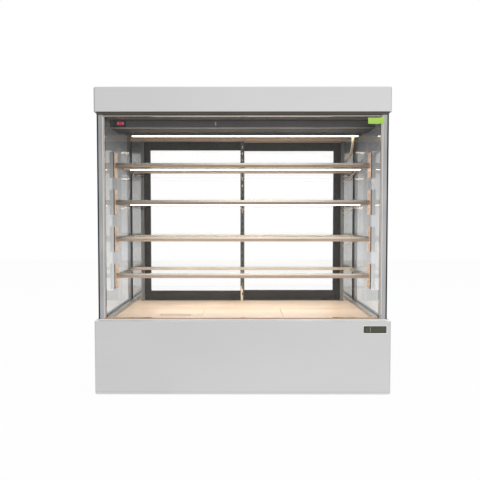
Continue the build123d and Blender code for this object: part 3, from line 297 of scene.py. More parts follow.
# glass-filled nylon, ABS and nylon: dull black, grey, smoother black
fanPlastic = surface("blackGlassFilledNylon", "#232325", "#17171A", specks, (0.44, 0.58), 0.08)
boxAbs = surface("greyMouldedAbs", "#9B9DA0", "#8B8D90", (1, 1, 1), (0.44, 0.58), 0.06)
glandNylon = surface("blackGlandNylon", "#29292C", "#1D1D20", specks, (0.36, 0.50), 0.06)
# zinc plating: small bright points
screwSteel = surface("zincPlatedSteel", "#BFC0C2", "#A1A2A5", (3, 3, 3), (0.24, 0.38), 0.04, **metal)
# vinyl film: fresh green with a satin shine
stickerFilm = surface("greenVinylFilm", "#AED45E", "#A2CC55", (20, 20, 4), (0.30, 0.42), 0.01)
# PVC sheath: smooth cream
leadPvc = surface("creamPvcSheath", "#F3D9BE", "#E6C8AA", (5, 5, 5), (0.34, 0.48), 0.04)
# deck: pale, with long fine streaks, and a warm peach tone that is painted warm light from the lamps
warmLitDeck = streakedDeckFinish("paleWarmLitDeck", "#F9E2CE", "#EFD3BB", (0.34, 0.48))
# front and door glass: clear, with weak and with usual reflections
frontGlass = clearGlass("lowReflectionGlass", "#FFFFFF", 1.28)
doorGlass = clearGlass("clearFloatGlass", "#FFFFFF", 1.45)
# shelf panes and pads: they vanish but for their edges
shelfGlass = clearGlass("lowReflectionShelfGlass", "#F8FBF9", 1.0001, **{"Coat Weight": 0.02})
clearPad = clearGlass("clearSiliconePad", "#FDFDFD", 1.0001)
# side glass: clear inside, and outside a grey that deepens towards the top: painted reflection of the dark
# ceiling
sideGlass = clearGlass("clearInnerGlass", "#FFFFFF", 1.14)
darkReflectionGlass = clearGlass("paintedDarkReflectionGlass", "#C8C9CA", 1.06,
                         [(0.45, "#E3E4E4"), (0.54, "#D9DADA"), (0.64, "#CDCECE"), (0.78, "#BABBBB"),
                          (0.93, "#A0A1A1"), (1.11, "#545555")])
# opal diffusers: warm white bars of light
ledDiffuser = litPlastic("opalDiffuserLit", "#FFF3E0", "#FFEBD0", 7.8, 0.35)
# rocker: a glowing red lens with pale pink ends, painted highlights that glow
rockerLit = litPlastic("redRockerLit", "#D8283C", "#B81A2C", 0.5, 0.25)
rockerEndHighlights = litPlastic("pinkRockerEndHighlights", "#F4B9BF", "#E79CA5", 0.3, 0.25)
print("materials made")


# modelling helpers, in millimetres: a test is given a face's normal and its middle
def inMetres(lengths):
    return [length / 1000 for length in lengths]


def boxOf(node):
    # the low and high corner of a CAD node
    return [1000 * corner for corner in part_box(node)]


def setMode(mode):
    bpy.ops.object.mode_set(mode=mode)


def onlySelect(piece):
    if bpy.context.object and bpy.context.object.mode != "OBJECT":
        setMode("OBJECT")
    bpy.ops.object.select_all(action="DESELECT")
    piece.select_set(True)
    bpy.context.view_layer.objects.active = piece


def editFaces(piece, test):
    # goes into edit mode with the faces selected that pass the test
    onlySelect(piece)
    setMode("EDIT")
    bpy.ops.mesh.select_mode(type="FACE")
    bpy.ops.mesh.select_all(action="DESELECT")
    endEdit()
    for polygon in piece.data.polygons:
        polygon.select = test(polygon.normal, 1000 * polygon.center)
    setMode("EDIT")


def editEdges(piece, test):
    # goes into edit mode with the edges selected whose two ends pass the test
    editFaces(piece, lambda normal, spot: False)
    bpy.ops.mesh.select_mode(type="EDGE")
    endEdit()
    ends = [1000 * vertex.co for vertex in piece.data.vertices]
    for edge in piece.data.edges:
        edge.select = test(ends[edge.vertices[0]], ends[edge.vertices[1]])
    setMode("EDIT")


def endEdit():
    setMode("OBJECT")


def cutAcross(spot, normal):
    # cuts the whole mesh in edit mode along a plane
    bpy.ops.mesh.select_all(action="SELECT")
    bpy.ops.mesh.bisect(plane_co=inMetres(spot), plane_no=normal)


def sinkFaces(piece, test, rim, move):
    # moves the faces that pass the test and leaves a rim round them
    editFaces(piece, test)
    bpy.ops.mesh.inset(thickness=rim / 1000)
    bpy.ops.transform.translate(value=inMetres(move))
    endEdit()


def takeNew(name, scale=(1, 1, 1)):
    # the piece that an operator has just added, named, scaled and applied
    piece = bpy.context.object
    piece.name = name
    piece.data.name = name
    piece.scale = scale
    onlySelect(piece)
    bpy.ops.object.transform_apply()
    return piece


def applyModifier(piece, kind, **settings):
    modifier = piece.modifiers.new(kind.lower(), kind)
    for name, value in settings.items():
        setattr(modifier, name, value)
    onlySelect(piece)
    bpy.ops.object.modifier_apply(modifier=modifier.name)


edgeAngle, smoothAngle = 35, 46  # sharper corners are broken, flatter ones shaded smooth


def breakEdges(piece, width, segments):
    applyModifier(piece, "BEVEL", width=width / 1000, segments=segments, limit_method="ANGLE",
                  angle_limit=radians(edgeAngle), use_clamp_overlap=True)


def roundEdges(piece, width, segments=2):
    breakEdges(piece, width, segments)
    bpy.ops.object.shade_smooth_by_angle(angle=radians(smoothAngle))
    applyModifier(piece, "WEIGHTED_NORMAL", keep_sharp=True, weight=100)


def groundEdges(piece, width):
    # arrises ground off a pane, each face flat
    breakEdges(piece, width, 1)
    bpy.ops.object.shade_flat()


def paint(piece, material, test=None):
    # the first paint covers the piece, a later one only the faces that pass its test
    if test is None:
        piece.data.materials.clear()
        piece.data.materials.append(material)
        return
    piece.data.materials.append(material)
    slot = len(piece.data.materials) - 1
    for polygon in piece.data.polygons:
        if test(polygon.normal, 1000 * polygon.center):
            polygon.material_index = slot


def place(piece, node, replaced=()):
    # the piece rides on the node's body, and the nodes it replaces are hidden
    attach(piece, bodyOf[node])
    if replaced:
        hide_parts(*replaced)


def finish(piece, node, edge, material):
    roundEdges(piece, edge)
    paint(piece, material)
    place(piece, node)


def bareCopy(source, name):
    # a copy with its own mesh, free of the source's body and marks
    piece = source.copy()
    piece.data = source.data.copy()
    piece.name = name
    piece.data.name = name
    for key in list(piece.keys()):
        del piece[key]
    piece.parent = None
    bpy.context.scene.collection.objects.link(piece)
    return piece


def dressedCopy(node, name, edge, material, pane=False):
    # a copy of a CAD node with its triangles merged and its edges broken
    piece = bareCopy(nodes[node], name)
    onlySelect(piece)
    setMode("EDIT")
    bpy.ops.mesh.select_all(action="SELECT")
    bpy.ops.mesh.remove_doubles(threshold=0.00001)
    bpy.ops.mesh.dissolve_limited(angle_limit=radians(1))
    endEdit()
    if piece.data.has_custom_normals:
        bpy.ops.mesh.customdata_custom_splitnormals_clear()
    if pane:
        groundEdges(piece, edge)
    else:
        roundEdges(piece, edge)
    paint(piece, material)
    place(piece, node, [node])
    return piece


def shiftedCopy(source, name, node, rise):
    # the same piece again, higher up
    piece = bareCopy(source, name)
    piece.location = (0, 0, rise / 1000)
    onlySelect(piece)
    bpy.ops.object.transform_apply()
    place(piece, node)
    return piece


def addBlock(name, low, high):
    # a block between two opposite corners
    low, high = inMetres(low), inMetres(high)
    bpy.ops.mesh.primitive_cube_add(size=1, location=[(a + b) / 2 for a, b in zip(low, high)])
    return takeNew(name, [b - a for a, b in zip(low, high)])


def addSheet(name, low, high, y):
    # an upright flat rectangle between two corners in X and Z
    middle = inMetres(((low[0] + high[0]) / 2, y, (low[1] + high[1]) / 2))
    bpy.ops.mesh.primitive_plane_add(size=1, location=middle, rotation=(pi / 2, 0, 0))
    return takeNew(name, inMetres((high[0] - low[0], high[1] - low[1], 1000)))


def addTrim(name, node, low, high, edge, material):
    # a strip, bead or bar with rounded edges
    trim = addBlock(name, low, high)
    finish(trim, node, edge, material)
    return trim


def onSide(side, inner, outer, low, high):
    # the two corners of a strip between two distances from the middle of the case
    first, last = sorted((side * inner, side * outer))
    return (first, *low), (last, *high)


def joined(name, pieces):
    onlySelect(pieces[0])
    for piece in pieces:
        piece.select_set(True)
    bpy.ops.object.join()
    pieces[0].name = name
    pieces[0].data.name = name
    return pieces[0]


sides = (("Left", -1), ("Right", 1))

# leads: the same points as in the part's source, in metres
leadSizes = {"topDiameter": 0.012, "topLength": 0.3103, "shelfDiameter": 0.004, "shelfLength": 0.2323}
topRoute = [(0.497, -0.030, 1.106), (0.497, -0.030, 1.070), (0.498, -0.012, 1.042), (0.501, 0.022, 1.026),
            (0.505, 0.070, 1.020), (0.510, 0.122, 1.017), (0.516, 0.172, 1.016), (0.516, 0.226, 1.016)]
shelfRoute = [(0.525, -0.013, -0.010), (0.525, 0.027, -0.010), (0.523, 0.072, -0.022),
              (0.516, 0.116, -0.034), (0.507, 0.150, -0.040), (0.503, 0.180, -0.041), (0.503, 0.214, -0.041)]


def addLead(name, node, points, diameter):
    curve = bpy.data.curves.new(name, "CURVE")
    curve.dimensions = "3D"
    curve.bevel_depth = diameter / 2
    curve.bevel_resolution = 4
    curve.resolution_u = 8
    curve.use_fill_caps = True
    line = curve.splines.new("NURBS")
    line.points.add(len(points) - 1)
    for point, spot in zip(line.points, points):
        point.co = (*spot, 1.0)
    line.order_u = 3
    line.use_endpoint_u = True
    lead = addObject(name, curve)
    curve.materials.append(leadPvc)
    place(lead, node, [node])


addLead("topLead", "lead_top", topRoute, leadSizes["topDiameter"])
shelfLevels = []
for number in range(1, 5):
    low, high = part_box(f"shelf_{number}_frame")
    level = (low.z + high.z) / 2
    shelfLevels.append(1000 * level)
    addLead(f"shelfLead{number}", f"lead_shelf_{number}", [(x, y, level + z) for x, y, z in shelfRoute],
            leadSizes["shelfDiameter"])
print("leads laid")

# casing, chassis and the other CAD nodes that keep their own mesh
keptNodes = {
    shadedBaseSteel: "base_front_panel base_side_panels base_rear_panel", casingSteel: "canopy_front canopy_sides",
    casingTop: "base_floor_pan canopy_top", chassisPaint: "chassis_frame top_frame",
    tubLiner: "insulated_tub", footRubber: "foot_front_left foot_front_right foot_rear_left foot_rear_right",
    compressorEnamel: "compressor", coilAluminium: "condenser evaporator",
    fanPlastic: "condenser_fan_blade evaporator_fan_blade", copperPipe: "refrigerant_pipes",
    boxAbs: "electrical_box", glandNylon: "cable_gland", controllerAbs: "controller_housing",
    switchNylon: "switch_housing", keyRubber: "button_up button_set button_down",
}
for material, names in keptNodes.items():
    for node in names.split():
        paint(nodes[node], material)
# the pressed corners of the panels: painted shade
for node in ("base_front_panel", "canopy_front", "base_side_panels", "canopy_sides", "base_rear_panel"):
    paint(nodes[node], casingFoldShade, lambda normal, spot: abs(normal.x) > 0.2 and abs(normal.y) > 0.2)
baseTop = boxOf("base_front_panel")[1].z
# the top of the base front's fold: painted highlight
paint(nodes["base_front_panel"], foldHighlight, lambda normal, spot: normal.z > 0.5 and spot.z > baseTop - 10)
print("casing finished")

# nodes whose edges are broken as on the real pieces, each with the width of the break
brokenEdges = {
    "front_rails": ("frontRails", 1.2, endShadedRailSteel), "corner_posts": ("cornerPosts", 0.8, postSteel),
    "glass_spacers": ("glassSpacers", 0.5, spacerAluminium),
    "door_tracks": ("doorTracks", 0.6, trackAluminium),
    "slotted_uprights": ("slottedUprights", 0.4, uprightPaint),
    "door_left_frame": ("doorFrameLeft", 1.0, doorAluminium),
    "door_right_frame": ("doorFrameRight", 1.0, doorAluminium),
    "deck_rear": ("deckRear", 0.6, warmLitDeck), "deck_left": ("deckLeft", 0.6, warmLitDeck),
    "deck_centre": ("deckCentre", 0.6, warmLitDeck), "deck_right": ("deckRight", 0.6, warmLitDeck),
    "ceiling_panel": ("ceilingPanel", 0.8, ceilingBoard), "light_channel": ("lightChannel", 0.5, channelPaint),
    "panel_screws": ("panelScrews", 0.6, screwSteel),
    "controller_window": ("controllerWindow", 0.3, windowAcrylic),
}
panes = {
    "front_glass": ("frontPane", 0.8, frontGlass), "side_glass": ("sidePanes", 0.6, sideGlass),
    "door_left_glass": ("doorPaneLeft", 0.6, doorGlass), "door_right_glass": ("doorPaneRight", 0.6, doorGlass),
}
dressed = {node: dressedCopy(node, *look) for node, look in brokenEdges.items()}
dressed.update({node: dressedCopy(node, *look, pane=True) for node, look in panes.items()})
innerPaneOut = boxOf("side_glass")[1].x - 10
paint(dressed["side_glass"], darkReflectionGlass, lambda normal, spot: abs(spot.x) > innerPaneOut)
jambRear = boxOf("ceiling_panel")[1].y  # the jamb plates end where the ceiling panel does
paint(dressed["corner_posts"], polishedSteel, lambda normal, spot: 0 < spot.y < jambRear + 0.1)
# the tracks' fronts take the fascia's painted warm light
paint(dressed["door_tracks"], warmLitFascia, lambda normal, spot: normal.y < -0.5)
# the bottom track's front is painted dark: a painted shadow line at the foot of the doors
paint(dressed["door_tracks"], doorAluminium, lambda normal, spot: normal.y < -0.5 and spot.z < 500)
channelUnder = boxOf("light_channel")[0].z
paint(dressed["light_channel"], channelShade, lambda normal, spot: spot.z < channelUnder + 1.5)
print("edges broken")

# uprights: painted light as a cream foot and plugs in slots of the middle one, strips behind the outer slots
uprightSizes = {"outerMiddle": 501.5, "stripHalf": 3.0, "stripLevels": (335, 1100),
                "stripDepth": (0.3, 1.8), "footTop": 385, "footRight": 2.5, "slotLightHalf": (2.3, 5.8),
                "slotLightDepth": (0.2, 1.9), "litSlots": (1082, 1050, 1018, 922, 890, 762)}
uprights = dressed["slotted_uprights"]
uprightFront = boxOf("slotted_uprights")[0].y
footTop, footRight = uprightSizes["footTop"], uprightSizes["footRight"]
for corner, across in (((0, 0, footTop), (0, 0, 1)), ((footRight, 0, 0), (1, 0, 0))):
    editFaces(uprights, lambda normal, spot: abs(spot.x) < 100 and (across[2] or spot.z < footTop))
    bpy.ops.mesh.bisect(plane_co=inMetres(corner), plane_no=across)
    endEdit()
paint(uprights, uprightSteel, lambda normal, spot: abs(spot.x) > 100)
paint(uprights, paintedSlotLight,
      lambda normal, spot: normal.y < -0.5 and -100 < spot.x < footRight and spot.z < footTop)
near, far = [uprightFront + depth for depth in uprightSizes["slotLightDepth"]]
wide, tall = uprightSizes["slotLightHalf"]
slotLights = joined("slotLightSpots", [addBlock("slotLight", (-wide, near, level - tall), (wide, far, level + tall))
                             for level in uprightSizes["litSlots"]])
near, far = [uprightFront + depth for depth in uprightSizes["stripDepth"]]
wide, (low, high) = uprightSizes["stripHalf"], uprightSizes["stripLevels"]
strips = joined("slotStrips", [addBlock("strip", (x - wide, near, low), (x + wide, far, high))
                               for x in (-uprightSizes["outerMiddle"], uprightSizes["outerMiddle"])])
finish(strips, "slotted_uprights", 0.3, uprightSteel)
finish(slotLights, "slotted_uprights", 0.5, paintedSlotLight)
print("uprights made")

# rocker: an oval red lens with pale ends of painted highlight
rockerSizes = {"cornerRound": 7.4, "redHalf": 10.0, "lensHalf": 6.2, "lensReach": 13.4, "lensCut": 3.8,
               "edge": 0.8}
rocker = dressedCopy("rocker_switch", "rockerLens", 0.01, rockerEndHighlights)
rockerLow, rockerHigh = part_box("rocker_switch")
rockerMiddle = 500 * (rockerLow.x + rockerHigh.x)
rockerLevel = 500 * (rockerLow.z + rockerHigh.z)
lensHalf, lensReach, lensCut = [rockerSizes[key] for key in ("lensHalf", "lensReach", "lensCut")]
editEdges(rocker, lambda one, two: abs(one.z - two.z) < 0.2 and abs(one.x - two.x) < 3
          and abs(one.x - rockerMiddle) > 10 and abs(one.y - two.y) > 2)
bpy.ops.mesh.bevel(offset=rockerSizes["cornerRound"] / 1000, segments=4, affect="EDGES")
for sign in (-1, 1):
    cutAcross((rockerMiddle + sign * rockerSizes["redHalf"], 0, 0), (1, 0, 0))
    cutAcross((0, 0, rockerLevel + sign * lensHalf), (0, 0, 1))
    cutAcross((rockerMiddle + sign * lensReach, 0, 0), (1, 0, 0))
    for rise in (-1, 1):  # the corners of the lens are cut off, so that it reads as an oval
        cutAcross((rockerMiddle + sign * (lensReach - lensCut), 0, rockerLevel + rise * lensHalf),
                  (sign, 0, rise))
endEdit()
roundEdges(rocker, rockerSizes["edge"])


def outsideLens(normal, spot):
    across, up = abs(spot.x - rockerMiddle), abs(spot.z - rockerLevel)
    return up > lensHalf or across > lensReach or across + up > lensReach + lensHalf - lensCut


paint(rocker, rockerLit, lambda normal, spot: abs(spot.x - rockerMiddle) < rockerSizes["redHalf"])
paint(rocker, switchNylon, outsideLens)
print("rocker made")

# front rails: dark faces painted as shadow, a hem along the top one and the white fold of the base below
railSizes = {"hemHeight": 4.6, "hemProud": 0.6, "hemBelowTop": 18, "edge": 0.8, "shadowDepth": 4,
             "shadowLow": 11, "ledgeHeight": 6, "ledgeRound": 1.6}
paint(dressed["front_rails"], railShadowCoat, lambda normal, spot: spot.z > 700 and normal.y < -0.5)
paint(dressed["front_rails"], ledgeShade, lambda normal, spot: spot.z < 700)
railLow, railHigh = boxOf("front_rails")
railFront = railLow.y
halfCase = boxOf("side_glass")[1].x
hemLow = railHigh.z - railSizes["hemBelowTop"]
addTrim("canopyShadowStrip", "front_rails",
        (-halfCase, railFront - railSizes["shadowDepth"], railHigh.z - railSizes["shadowLow"]),
        (halfCase, railFront - 0.4, railHigh.z - 0.3), railSizes["edge"], railShadowCoat)
# the white fold of the base: painted highlight
addTrim("baseLedgeHighlight", "base_front_panel", (-halfCase, railFront - railSizes["shadowDepth"], railLow.z + 0.2),
        (halfCase, railFront - 0.4, railLow.z + 0.2 + railSizes["ledgeHeight"]), railSizes["ledgeRound"],
        foldHighlight)
addTrim("topRailHem", "front_rails", (-railHigh.x, railFront - railSizes["hemProud"], hemLow),
        (railHigh.x, railFront + 1, hemLow + railSizes["hemHeight"]), railSizes["edge"], hemSteel)

# seals: a black bead on the side panes' front edges, silicone beside the front pane, corner beads
sealSizes = {"beadDepth": 4.0, "beadWidth": 5.0, "beadBelow": 11, "beadAbove": 18, "siliconeInner": 555.5,
             "siliconeOuter": 560.5, "edgeOuter": 564.5, "siliconeProud": 6.4, "cornerBead": 5.0,
             "cornerBelow": 3, "cornerAbove": 8}
sideLow, sideHigh = boxOf("side_glass")
frontLow, frontHigh = boxOf("front_glass")
innerFace = boxOf("side_sills")[1].x
proudFace = frontLow.y - sealSizes["siliconeProud"]
for name, side in sides:
    addTrim("paneBead" + name, "side_glass",
            *onSide(side, sideHigh.x - sealSizes["beadWidth"], sideHigh.x,
                    (sideLow.y - sealSizes["beadDepth"], frontLow.z - sealSizes["beadBelow"]),
                    (sideLow.y, frontHigh.z + sealSizes["beadAbove"])), 1.2, sealRubber)
    addTrim("frontSilicone" + name, "front_glass",
            *onSide(side, sealSizes["siliconeInner"], sealSizes["siliconeOuter"],
                    (proudFace + 1, frontLow.z), (frontLow.y, frontHigh.z)), 0.9, clearSilicone)
    # a bright strip along the post's inner edge: painted highlight
    addTrim("postEdgeHighlight" + name, "corner_posts",
            *onSide(side, sealSizes["siliconeOuter"], sealSizes["edgeOuter"],
                    (proudFace, frontLow.z), (frontLow.y - 3, frontHigh.z)), 0.9, casingSteel)
    addTrim("cornerBead" + name, "side_glass",
            *onSide(side, innerFace - sealSizes["cornerBead"], innerFace,
                    (jambRear - sealSizes["cornerBead"], frontLow.z + sealSizes["cornerBelow"]),
                    (jambRear, frontHigh.z + sealSizes["cornerAbove"])), 1.2, sealRubber)
print("seals made")

# side sills: ribbed extrusions, with a gasket against the glass
sillSizes = {"ribCount": 2, "ribWidth": 6.6, "ribHeight": 4.0, "gasket": 4.4, "deckGap": 1.5}
sillLow, sillHigh = boxOf("side_sills")
ribFoot = sillHigh.z - sillSizes["ribHeight"]
sillInner = boxOf("deck_rear")[1].x + sillSizes["deckGap"]
sillOuter = sillHigh.x - sillSizes["gasket"]
ribPitch = (sillOuter - sillInner) / sillSizes["ribCount"]
for name, side in sides:
    strips = [addBlock("sill", *onSide(side, sillInner, sillOuter, (sillLow.y, sillLow.z),
                                       (sillHigh.y, ribFoot)))]
    first = min(side * sillInner, side * sillOuter)
    for rib in range(sillSizes["ribCount"]):
        middle = first + (rib + 0.5) * ribPitch
        strips.append(addBlock("rib", (middle - sillSizes["ribWidth"] / 2, sillLow.y, ribFoot - 0.4),
                               (middle + sillSizes["ribWidth"] / 2, sillHigh.y, sillHigh.z)))
    sill = joined("sideSill" + name, strips)
    roundEdges(sill, 0.4)
    paint(sill, sillAluminium)
    # the floors of the grooves between the ribs: painted dark as shade
    paint(sill, uprightPaint, lambda normal, spot: normal.z > 0.9 and spot.z < sillHigh.z - 1)
    place(sill, "side_sills", ["side_sills"])
    addTrim("sillGasket" + name, "side_sills",
            *onSide(side, sillOuter, sillHigh.x, (sillLow.y, sillLow.z), (sillHigh.y, sillHigh.z + 0.3)),
            0.8, sealRubber)
print("sills made")

# shelves: satin tubes between end plates painted warm with lamp light, made once and copied to each level
tubeSizes = {"overhang": 2, "frontDepth": 20, "half": 10, "grooveTop": 1.8, "grooveRim": 1.2,
             "grooveDepth": 1.6, "grooveRound": 1.0, "rearDepth": 15, "rearLow": 5, "rearRound": 2.5,
             "armWidth": 12, "armLap": 2, "armRound": 1.6}
hookSizes = {"middle": 501.5, "half": 1.5, "armHalf": 4.5, "tongue": (3, 10), "round": 0.5,
             "bracketHalf": 5, "bracketDepth": (2, 9), "bracketLevels": (-27, -5.5), "bracketRound": 1.2,
             "bracketRim": 2.5, "bracketSunk": 3}
plateSizes = {"thick": 5, "half": (29, 55), "round": 1.0, "padHalf": (14.5, 36.5), "padRound": 2.0,
              "screwRadius": 3.6, "screwHeight": 1.4, "screwSpacing": 30.0, "slotRim": 1.8, "slotDepth": 0.7}
paneLow, paneHigh = boxOf("shelf_glass")
frameHigh = boxOf("shelf_1_frame")[1]
firstLevel = shelfLevels[0]
half = tubeSizes["half"]
tubeFront = paneLow.y + tubeSizes["overhang"]
tubeRear = paneHigh.y - tubeSizes["overhang"]
plateMiddle = tubeFront + half
plateInside = paneHigh.x + 0.2


def addBar(low, high, edge, material=endShadedRailSteel):
    # a bar of the first shelf: heights are from the shelf's level
    made = addBlock("bar", (low[0], low[1], firstLevel + low[2]), (high[0], high[1], firstLevel + high[2]))
    roundEdges(made, edge, 3)
    paint(made, material)
    return made


def addFrontTube():
    # the lower part of the tube's front face is a shallow groove
    tube = addBlock("bar", (-paneHigh.x, tubeFront, firstLevel - half),
                    (paneHigh.x, tubeFront + tubeSizes["frontDepth"], firstLevel + half))
    grooveTop = firstLevel + tubeSizes["grooveTop"]
    editFaces(tube, lambda normal, spot: True)
    cutAcross((0, 0, grooveTop), (0, 0, 1))
    endEdit()
    sinkFaces(tube, lambda normal, spot: normal.y < -0.9 and spot.z < firstLevel,
              tubeSizes["grooveRim"], (0, tubeSizes["grooveDepth"], 0))
    roundEdges(tube, tubeSizes["grooveRound"])
    paint(tube, endShadedRailSteel)
    # painted shade in the groove
    paint(tube, shadedGrooveSteel, lambda normal, spot: spot.z < grooveTop + 0.1 and spot.y < tubeFront + 2)
    return tube


def addHook(x):
    # a hook into an upright, and the bracket below it with a dark hollow in front, painted black as shade
    thick, armHalf, (tongue, drop) = hookSizes["half"], hookSizes["armHalf"], hookSizes["tongue"]
    arm = addBar((x - thick, tubeRear - 1, -armHalf), (x + thick, frameHigh.y, armHalf), hookSizes["round"])
    tip = addBar((x - thick, frameHigh.y - tongue, -drop), (x + thick, frameHigh.y, 0), hookSizes["round"])
    wide, (near, far) = hookSizes["bracketHalf"], hookSizes["bracketDepth"]
    low, high = hookSizes["bracketLevels"]
    bracket = addBar((x - wide, tubeRear - near, low), (x + wide, tubeRear + far, high),
                     hookSizes["bracketRound"])
    sinkFaces(bracket, lambda normal, spot: normal.y < -0.9, hookSizes["bracketRim"],
              (0, hookSizes["bracketSunk"], 0))
    paint(bracket, sealRubber, lambda normal, spot: normal.y < -0.9 and spot.y > tubeRear)
    return [arm, tip, bracket]


def addShelfFrame():
    # front tube, rear tube, arms and hooks as one welded frame
    bars = [addFrontTube(),
            addBar((-paneHigh.x, tubeRear - tubeSizes["rearDepth"], -tubeSizes["rearLow"]),
                   (paneHigh.x, tubeRear, half), tubeSizes["rearRound"], warmLitRearTube)]
    armFront = tubeFront + tubeSizes["frontDepth"] - tubeSizes["armLap"]
    armRear = tubeRear - tubeSizes["rearDepth"] + tubeSizes["armLap"]
    for side in (-1, 1):
        bars.append(addBar(*onSide(side, paneHigh.x - tubeSizes["armWidth"], paneHigh.x,
                                   (armFront, -half), (armRear, half)), tubeSizes["armRound"]))
    for x in (-hookSizes["middle"], 0, hookSizes["middle"]):
        bars.extend(addHook(x))
    return joined("shelfFrame1", bars)


def addEndPlate(name, side):
    # a plate pressed from sheet, its pad against the glass, and two pan-head screws
    def slab(inner, outer, halves, edge):
        depth, height = halves
        made = addBlock("slab", *onSide(side, inner, outer, (plateMiddle - depth, firstLevel - height),
                                        (plateMiddle + depth, firstLevel + height)))
        roundEdges(made, edge, 3)
        return made
    plateOutside = plateInside + plateSizes["thick"]
    plate = slab(plateInside, plateOutside, plateSizes["half"], plateSizes["round"])
    paint(plate, warmLitPlate)
    paint(plate, plateBack, lambda normal, spot: side * normal.x > 0.7)
    paint(plate, uprightPaint, lambda normal, spot: normal.y < -0.7)
    pad = slab(plateOutside, frameHigh.x, plateSizes["padHalf"], plateSizes["padRound"])
    paint(pad, clearPad)
    pieces = [plate, pad]
    for rise in (-plateSizes["screwSpacing"], plateSizes["screwSpacing"]):
        spot = (side * (plateInside - plateSizes["screwHeight"] / 2), plateMiddle, firstLevel + rise)
        bpy.ops.mesh.primitive_cylinder_add(vertices=20, radius=plateSizes["screwRadius"] / 1000,
                                            depth=plateSizes["screwHeight"] / 1000,
                                            location=inMetres(spot), rotation=(0, pi / 2, 0))
        head = takeNew("screw")
        sinkFaces(head, lambda normal, spot: side * normal.x < -0.9, plateSizes["slotRim"],
                  (side * plateSizes["slotDepth"], 0, 0))
        roundEdges(head, 0.4)
        paint(head, screwSteel)
        pieces.append(head)
    return joined(name, pieces)


shelf = addShelfFrame()
endPlates = [addEndPlate("endPlate1" + name, side) for name, side in sides]
shelfPane = addBlock("shelfPane1", (paneLow.x, paneLow.y, firstLevel + half),
                     (paneHigh.x, paneHigh.y, firstLevel + half + 6))
groundEdges(shelfPane, 1.0)
paint(shelfPane, shelfGlass)
place(shelf, "shelf_1_frame", ["shelf_1_frame"])
for plate in endPlates:
    place(plate, "shelf_1_frame")
place(shelfPane, "shelf_glass", ["shelf_glass"])
# the two upper shelves hang in the darker part of the case: their tubes take copies with painted shade
upperShadeTone = {endShadedRailSteel: shadedUpperRailSteel, warmLitRearTube: shadedWarmLitRearTube, shadedGrooveSteel: shadedUpperGrooveSteel}
shadedTone = {3: upperShadeTone, 4: {**upperShadeTone, endShadedRailSteel: shadedTopRailSteel}}
for number, level in enumerate(shelfLevels[1:], start=2):
    node = f"shelf_{number}_frame"
    frameCopy = shiftedCopy(shelf, f"shelfFrame{number}", node, level - firstLevel)
    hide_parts(node)
    for slot in frameCopy.material_slots:
        slot.material = shadedTone.get(number, {}).get(slot.material, slot.material)
    for plate, (name, side) in zip(endPlates, sides):
        shiftedCopy(plate, f"endPlate{number}{name}", node, level - firstLevel)
    shiftedCopy(shelfPane, f"shelfPane{number}", "shelf_glass", level - firstLevel)
print("shelves made")

# light bars: an opal diffuser under an aluminium back, with a cap at each end
lampSizes = {"height": 8.4, "round": 2.2, "rim": 2, "sunk": 0.6, "caps": (30.0, 6.0), "capProud": 0.4,
             "capRound": 1.6, "backDepth": 4.8, "topCaps": (13.0, 16.0), "topBackDepth": 12.4, "topLipDepth": 0.3}
lampLow, lampHigh = boxOf("shelf_lights")
topLampLow, topLampHigh = boxOf("top_light")
lampTop = firstLevel + lampHigh.z - shelfLevels[-1]


def addLamp(name, node, low, high, backDepth, caps, capMaterial):
    lamp = addBlock(name, low, high)
    sinkFaces(lamp, lambda normal, spot: normal.z > 0.5, lampSizes["rim"], (0, 0, -lampSizes["sunk"]))
    roundEdges(lamp, lampSizes["round"], 3)
    paint(lamp, ledDiffuser)
    paint(lamp, trackAluminium, lambda normal, spot: spot.z > high[2] - backDepth)
    pieces = [lamp]
    proud = lampSizes["capProud"]
    for x, wide in ((low[0], caps[0]), (high[0] - caps[1], caps[1])):
        cap = addBlock("cap", (x, low[1] - proud, low[2] - proud), (x + wide, high[1] + proud, high[2]))
        roundEdges(cap, lampSizes["capRound"], 3)
        paint(cap, capMaterial)
        pieces.append(cap)
    lamp = joined(name, pieces)
    place(lamp, node)
    return lamp


lamp = addLamp("shelfLamp1", "shelf_lights", (lampLow.x, lampLow.y, lampTop - lampSizes["height"]),
               (lampHigh.x, lampHigh.y, lampTop), lampSizes["backDepth"], lampSizes["caps"], leadPvc)
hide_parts("shelf_lights")
for number, level in enumerate(shelfLevels[1:], start=2):
    shiftedCopy(lamp, f"shelfLamp{number}", "shelf_lights", level - firstLevel)
topLampBack = topLampHigh.z - lampSizes["topBackDepth"]
topBack = addTrim("topLampBack", "top_light", (topLampLow.x, topLampLow.y, topLampBack), topLampHigh, 0.8,
                  channelPaint)
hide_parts("top_light")
addLamp("topLamp", "top_light", topLampLow, (topLampHigh.x, topLampHigh.y, topLampBack),
        lampSizes["topLipDepth"], lampSizes["topCaps"], channelPaint)
print("lamps made")

